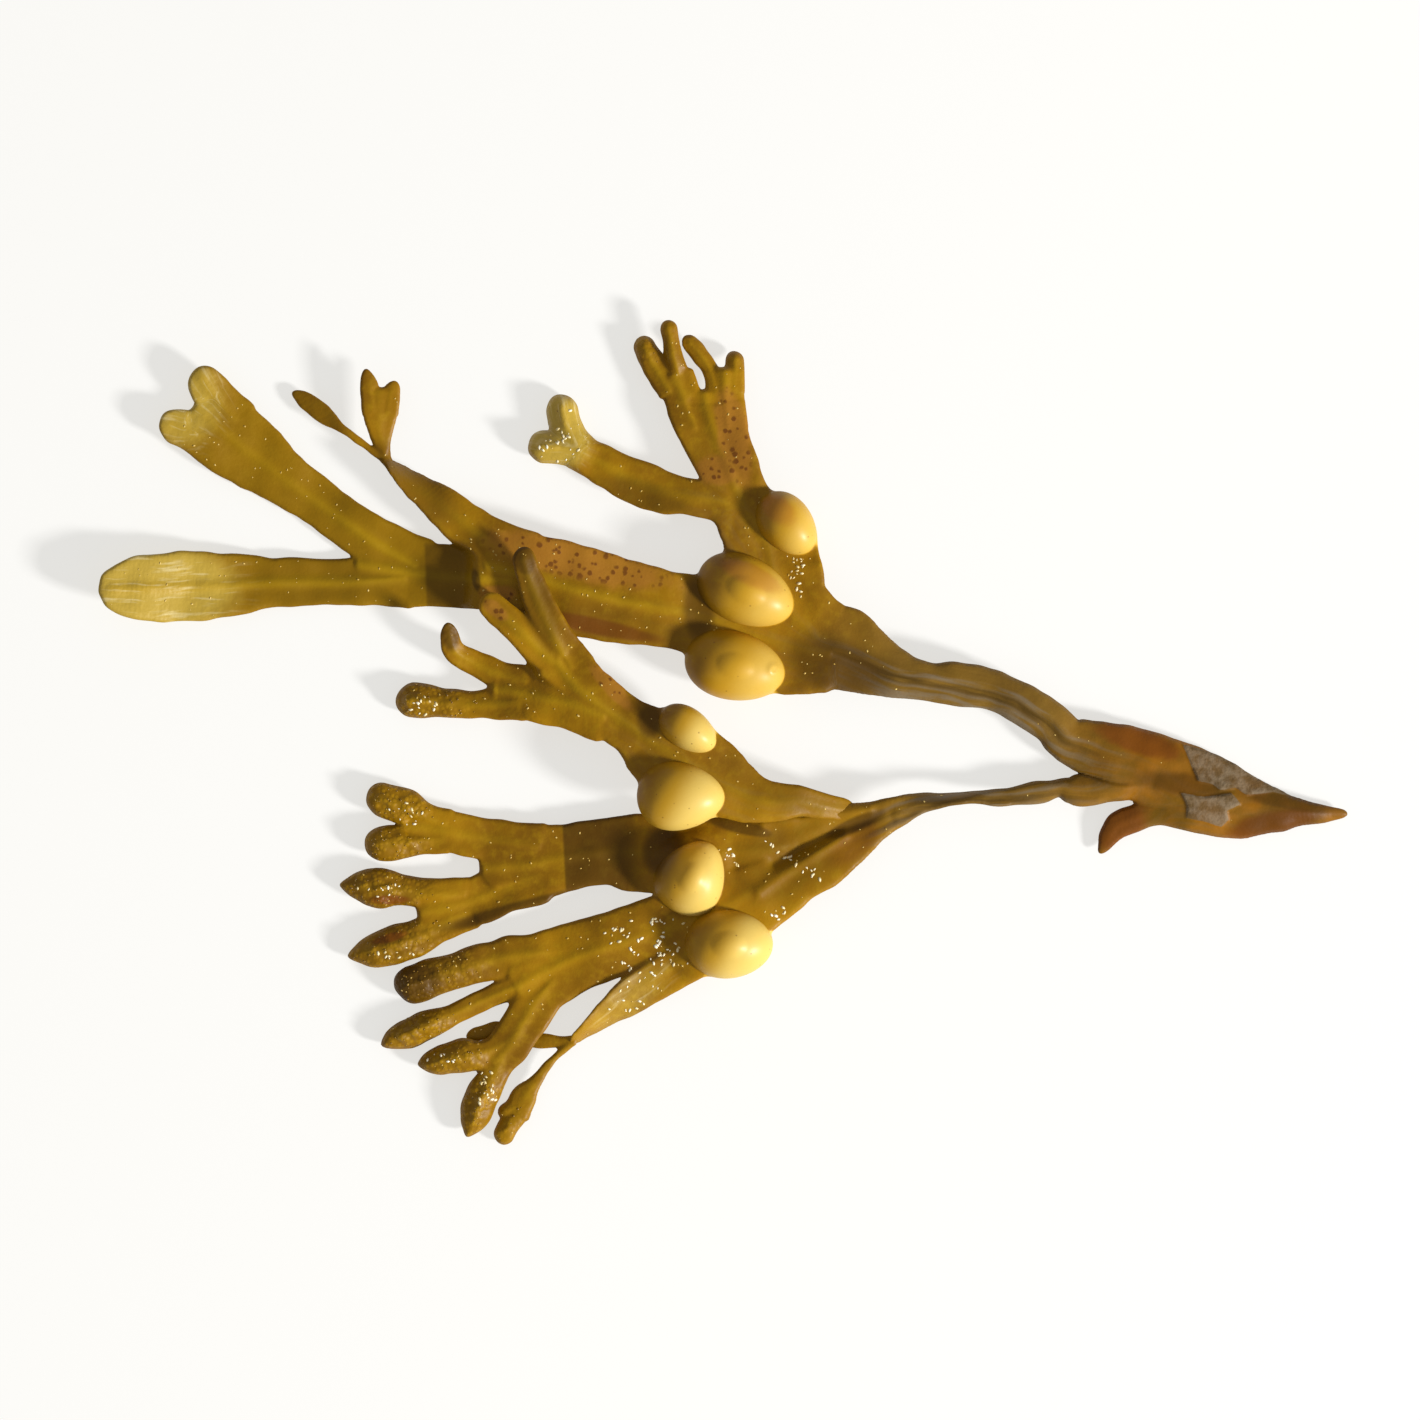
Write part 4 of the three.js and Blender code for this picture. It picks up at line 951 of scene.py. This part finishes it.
def wrackSkin(slot):
    paint = Paint("wrack_" + slot)
    place = paint.node("ShaderNodeTexCoord", None, None, "Object")
    cloudy = paint.noise(place, skin["cloudSize"])
    fine = paint.noise(place, skin["fineSize"], 3.0)
    grain = paint.noise(place, skin["grainSize"])
    ragged = (fine - 0.5) * 0.5
    colour = paint.mix(paint.step(cloudy, 0.28, 0.72), skin["deep"], skin["main"])
    colour = paint.mix(paint.step(fine, 0.4, 0.85) * 0.5, colour, skin["bright"])
    colour = paint.mix(paint.mark("yellow"), colour, skin["yellow"])
    pale = paint.mark("pale")
    colour = paint.mix(paint.step(pale + ragged * 0.5, 0.1, 0.9) * 0.9, colour, skin["pale"])
    colour = paint.mix(paint.mark("rib") * 0.5, colour, skin["rib"])
    stem = paint.mark("stem")
    blot = paint.noise(place, skin["blotSize"])
    woody = paint.step(paint.noise(place, skin["woodSize"], 3.0) + ragged * 0.4, 0.3, 0.7)
    colour = paint.mix(stem, colour, paint.mix(woody, skin["stemDeep"], skin["stem"]))
    depth = paint.mark("depth")
    colour = paint.mix((1 - paint.step(depth, 0.02, 0.5)) * 0.16, colour, skin["edge"])

    tip = paint.mark("tip")
    pitted = paint.step(paint.cells(place, skin["pitSize"]), 0.15, 0.65)
    colour = paint.mix(tip * 0.5, colour, paint.mix(pitted, skin["tipLight"], skin["tipDark"]))

    # the stalks: brown, with a dark groove between a grey ridge and a grey wing. The groove's dark is
    # painted shade; the grey is partly the dry stalk's own grey, partly painted sheen.
    across = paint.mark("across") + (paint.noise(place, 6.0, 1.0) - 0.5) * 1.6
    along = paint.node("ShaderNodeCombineXYZ", None, {
        "X": paint.mark("along") * (skin["streakPace"] * mm), "Y": across * mm, "Z": 0.0})
    streak = paint.noise(along, skin["streakSize"], 3.0)
    # Painted sheen: pale streaks along the pale tips stand in for their wet reflections.
    colour = paint.mix(pale * paint.step(streak, 0.52, 0.72) * 0.5, colour, skin["paintedSheen"])
    dry = paint.mark("dry")
    colour = paint.mix(dry * 0.75, colour, skin["stalk"])
    ridge = 1 - paint.step(paint.math("ABSOLUTE", across + 0.35, 0.0), 0.1, 0.5)
    wing = paint.step(across, 0.5, 1.0) + ridge
    colour = paint.mix(dry * wing * paint.step(streak, 0.35, 0.65) * 0.85, colour, skin["grey"])
    groove = 1 - paint.step(paint.math("ABSOLUTE", across - 0.35, 0.0), 0.1, 0.7)
    colour = paint.mix(dry * groove * paint.step(streak, 0.25, 0.6) * 0.8, colour, skin["groove"])

    colour = paint.mix(paint.step(paint.mark("red") + ragged, 0.1, 1.0) * 0.8, colour, skin["red"])
    # Painted shade: the dark zones darken cast shadows, creases and blades turned from the light, some also
    # the blade's own darker tone.
    shaded = paint.step(paint.mark("dark") + ragged * 0.3, 0.05, 0.95)
    colour = paint.mix(shaded * 0.75, colour, skin["dark"])
    rust = paint.step(paint.mark("rust") + ragged + (blot - 0.5) * 0.9, 0.15, 0.95)
    colour = paint.mix(rust * 0.78, colour, skin["rust"])
    freckled = paint.cells(place, skin["rustSpotSize"]) + (blot - 0.5) * 0.9 + (grain - 0.5) * 0.3
    spot = rust * (1 - paint.step(freckled, 0.14, 0.36))
    colour = paint.mix(spot * 0.75, colour, skin["spot"])

    bladder = paint.mark("bladder")
    # Painted light on the bladders: the blade's colour on the side away from the key light, the deeper
    # ochre across the middle, the pale ochre on the lit side.
    paintedLitOchre = paint.mark("paintedLitOchre") + (paint.noise(place, skin["mottleSize"], 3.0) - 0.5) * 0.1 * bladder
    colour = paint.mix(paint.step(paintedLitOchre, 0.03, 0.42) * bladder, colour, skin["ochreDeep"])
    colour = paint.mix(paint.step(paintedLitOchre, 0.4, 0.95) * bladder, colour, skin["paintedLitOchre"])
    colour = paint.mix(paint.step(paint.mark("blush") + ragged, 0.1, 1.0) * 0.45, colour, skin["blush"])
    freckle = bladder * (1 - paint.step(paint.cells(place, skin["freckleSize"]), 0.05, 0.11))
    colour = paint.mix(freckle * 0.5, colour, skin["spot"])
    crust = paint.mark("crust")
    flaky = paint.mix(paint.step(fine, 0.35, 0.65), skin["crustDeep"], skin["crust"])
    colour = paint.mix(paint.step(crust + ragged, 0.2, 0.6) * (0.8 + ragged * 0.6), colour, flaky)

    rough = skin["roughness"] + ragged * 0.4 + dry * 0.06 + crust * 0.3 + bladder * 0.06
    height = grain * 0.3 + fine * (0.5 + pale) + dry * streak + spot * 0.3 + crust * grain
    height = height - tip * pitted * 0.7
    normal = paint.node("ShaderNodeBump", None, {
        "Strength": skin["bump"], "Distance": skin["bumpDepth"], "Height": height * (1 - bladder * 0.6)})
    shader = paint.node("ShaderNodeBsdfPrincipled", None, {
        "Base Color": colour, "Roughness": rough, "Normal": normal,
        "Specular IOR Level": skin["specular"], "Coat Roughness": skin["coatRoughness"],
        "Coat Weight": bladder * 0.25 + pale * 0.45 + dry * 0.1})
    paint.node("ShaderNodeOutputMaterial", None, {"Surface": shader})
    return paint.material


def speckFinish(name, light, dark, rough):
    paint = Paint(name)
    place = paint.node("ShaderNodeTexCoord", None, None, "Object")
    shade = paint.step(paint.noise(place, 2.0, 2.0), 0.3, 0.7)
    shader = paint.node("ShaderNodeBsdfPrincipled", None, {
        "Base Color": paint.mix(shade, dark, light), "Roughness": rough, "Specular IOR Level": 0.5})
    paint.node("ShaderNodeOutputMaterial", None, {"Surface": shader})
    return paint.material


# Scatters small domes over the upper face: hair tufts, beads of water coloured near white as painted
# glints, the pores of the ripe tips.
def speckTree():
    tree = bpy.data.node_groups.new("specks", "GeometryNodeTree")
    for name, kind in (
            ("Geometry", "Geometry"), ("Share", "String"), ("Density", "Float"), ("Size", "Float"),
            ("Stretch", "Float"), ("Height", "Float"), ("Seed", "Int"), ("Finish", "Material")):
        tree.interface.new_socket(name, in_out="INPUT", socket_type="NodeSocket" + kind)
    tree.interface.new_socket("Geometry", in_out="OUTPUT", socket_type="NodeSocketGeometry")

    def node(kind, settings=None, sockets=None):
        return addNode(tree, kind, settings, sockets)

    def times(a, b):
        return node("ShaderNodeMath", {"operation": "MULTIPLY"}, {0: a, 1: b}).outputs[0]

    given = node("NodeGroupInput").outputs
    share = node("GeometryNodeInputNamedAttribute", {"data_type": "FLOAT"}, {"Name": given["Share"]})
    spread = node("GeometryNodeDistributePointsOnFaces", {"distribute_method": "RANDOM"}, {
        "Mesh": given["Geometry"], "Seed": given["Seed"],
        "Density": times(given["Density"], share.outputs[0])})
    dome = node("GeometryNodeMeshIcoSphere", None, {"Radius": 1.0, "Subdivisions": 1})
    smooth = node("GeometryNodeSetShadeSmooth", None, {"Geometry": dome.outputs["Mesh"]})
    spin = node("FunctionNodeRandomValue", {"data_type": "FLOAT_VECTOR"}, {
        "Min": (0, 0, 0), "Max": (0, 0, 6.28), "Seed": given["Seed"]})
    turn = node("FunctionNodeRotateRotation", {"rotation_space": "LOCAL"}, {
        "Rotation": spread.outputs["Rotation"], "Rotate By": spin.outputs["Value"]})
    vary = node("FunctionNodeRandomValue", {"data_type": "FLOAT"}, {
        "Min": 0.45, "Max": 1.25, "Seed": given["Seed"]})
    size = times(given["Size"], vary.outputs[1])
    form = node("ShaderNodeCombineXYZ", None, {
        "X": times(size, given["Stretch"]), "Y": size, "Z": times(size, given["Height"])})
    placed = node("GeometryNodeInstanceOnPoints", None, {
        "Points": spread.outputs["Points"], "Instance": smooth.outputs[0], "Rotation": turn.outputs[0],
        "Scale": form.outputs[0]})
    real = node("GeometryNodeRealizeInstances", None, {"Geometry": placed.outputs[0]})
    done = node("GeometryNodeSetMaterial", None, {"Geometry": real.outputs[0], "Material": given["Finish"]})
    node("NodeGroupOutput", None, {"Geometry": done.outputs[0]})
    return tree


specks = {
    "hairTufts": {"slot": "blade", "Share": "hairs", "Density": 2.6e5, "Size": 0.085 * mm, "Stretch": 1.6,
                  "Height": 0.6, "Seed": 3, "Finish": ((214, 184, 104), (182, 146, 54), 0.45)},
    # The beads of water are coloured near white: painted glints.
    "waterBeadGlints": {"slot": "fork", "Share": "beads", "Density": 2.0e6, "Size": 0.135 * mm, "Stretch": 1.8,
                   "Height": 0.5, "Seed": 5, "Finish": ((248, 240, 214), (216, 194, 132), 0.25)},
    "tipPores": {"slot": "tips", "Share": "pits", "Density": 1.3e6, "Size": 0.12 * mm, "Stretch": 1.0,
                 "Height": 0.34, "Seed": 9, "Finish": ((148, 110, 10), (122, 86, 3), 0.34)},
}


def scatterSpecks(bed):
    tree = speckTree()
    ids = {i.name: i.identifier for i in tree.interface.items_tree if i.in_out == "INPUT"}
    for name, values in specks.items():
        host = bpy.data.objects.new("speckBed", bed)
        bpy.context.scene.collection.objects.link(host)
        modifier = host.modifiers.new("specks", "NODES")
        modifier.node_group = tree
        for key, value in values.items():
            if key == "Finish":
                value = speckFinish(name, tone(*value[0]), tone(*value[1]), value[2])
            if key in ids:
                modifier[ids[key]] = value
        bpy.context.view_layer.update()
        made = bpy.data.meshes.new_from_object(host.evaluated_get(bpy.context.evaluated_depsgraph_get()))
        host.modifiers.remove(modifier)
        bpy.data.objects.remove(host)
        made.name = name
        for key in [a.name for a in made.attributes if a.data_type == "FLOAT" and not a.is_internal]:
            made.attributes.remove(made.attributes[key])
        showPiece(name, made)
        print(name, len(made.polygons), "faces")


def showPiece(name, mesh):
    piece = bpy.data.objects.new(name, mesh)
    bpy.context.scene.collection.objects.link(piece)
    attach(piece, "root")
    return piece


skins = {m["slot"]: wrackSkin(m["slot"]) for m in frame["record"]["materials"]}
parts = {name: [] for name in pieceNames}
strands = grownStrands()
for layerName in ("main", "over", "under"):
    for name, made in growLayer(layerName, strands).items():
        parts[name].append(made)
for name in pieceNames:
    mesh = meshOf(name, parts[name])
    mesh.materials.append(skins[sprig[name]["slot"]])
    piece = showPiece(name, mesh)
    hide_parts(solidName(name))
    print(name, len(mesh.vertices), "vertices,", len(mesh.polygons), "faces")
scatterSpecks(meshOf("speckBed", [part for name in pieceNames for part in parts[name]], True))

studio = {
    "aim": (-1.4, 2.2, 0.0),  # mm, the middle of the photograph
    "frameWidth": 142.0,  # mm seen across the picture
    "lens": 200.0,  # mm, over the sensor's width
    "sensor": 36.0,
    "raise": 0.003,  # m, the middle height of the sprig
    "keyFrom": (0.78, -0.38, 0.44),  # low, from the stalk's side
    "keyDistance": 1.2,  # m
    "keyPower": 23.0,
    "keySize": 0.16,
    "fill": 0.38,
    "floorGlow": 0.66,
    "floorHalf": 3.0,  # m
    "floor": tone(150, 149, 147),
    "floorLight": tone(255, 254, 250),
}


def setStudio():
    scene = bpy.context.scene
    scene.view_settings.view_transform = "Standard"
    aim = np.array(studio["aim"]) * mm
    camera = bpy.data.objects.new("camera", bpy.data.cameras.new("camera"))
    camera.data.lens = studio["lens"]
    camera.data.sensor_width = studio["sensor"]
    height = studio["frameWidth"] * mm * studio["lens"] / studio["sensor"]
    camera.location = (aim[0], aim[1], height + studio["raise"])
    camera.data.clip_end = 10
    scene.collection.objects.link(camera)
    scene.camera = camera

    light = bpy.data.lights.new("key", "AREA")
    light.energy = studio["keyPower"]
    light.size = studio["keySize"]
    key = bpy.data.objects.new("key", light)
    toward = np.array(studio["keyFrom"]) / np.linalg.norm(studio["keyFrom"])
    key.location = aim + toward * studio["keyDistance"]
    key.rotation_mode = "QUATERNION"
    key.rotation_quaternion = mathutils.Vector(toward).to_track_quat("Z", "Y")
    scene.collection.objects.link(key)

    world = bpy.data.worlds.new("studio")
    scene.world = world
    world.use_nodes = True
    world.node_tree.nodes["Background"].inputs["Color"].default_value = (1, 1, 1, 1)
    world.node_tree.nodes["Background"].inputs["Strength"].default_value = studio["fill"]

    floorMesh = bpy.data.meshes.new("floor")
    r = studio["floorHalf"]
    floorMesh.from_pydata([(-r, -r, 0), (r, -r, 0), (r, r, 0), (-r, r, 0)], [], [(0, 1, 2, 3)])
    paint = Paint("paleFloor")
    shader = paint.node("ShaderNodeBsdfPrincipled", None, {
        "Base Color": studio["floor"], "Roughness": 0.9, "Specular IOR Level": 0.1,
        "Emission Color": studio["floorLight"], "Emission Strength": studio["floorGlow"]})
    paint.node("ShaderNodeOutputMaterial", None, {"Surface": shader})
    floorMesh.materials.append(paint.material)
    floor = bpy.data.objects.new("floor", floorMesh)
    scene.collection.objects.link(floor)


setStudio()
print("studio set")
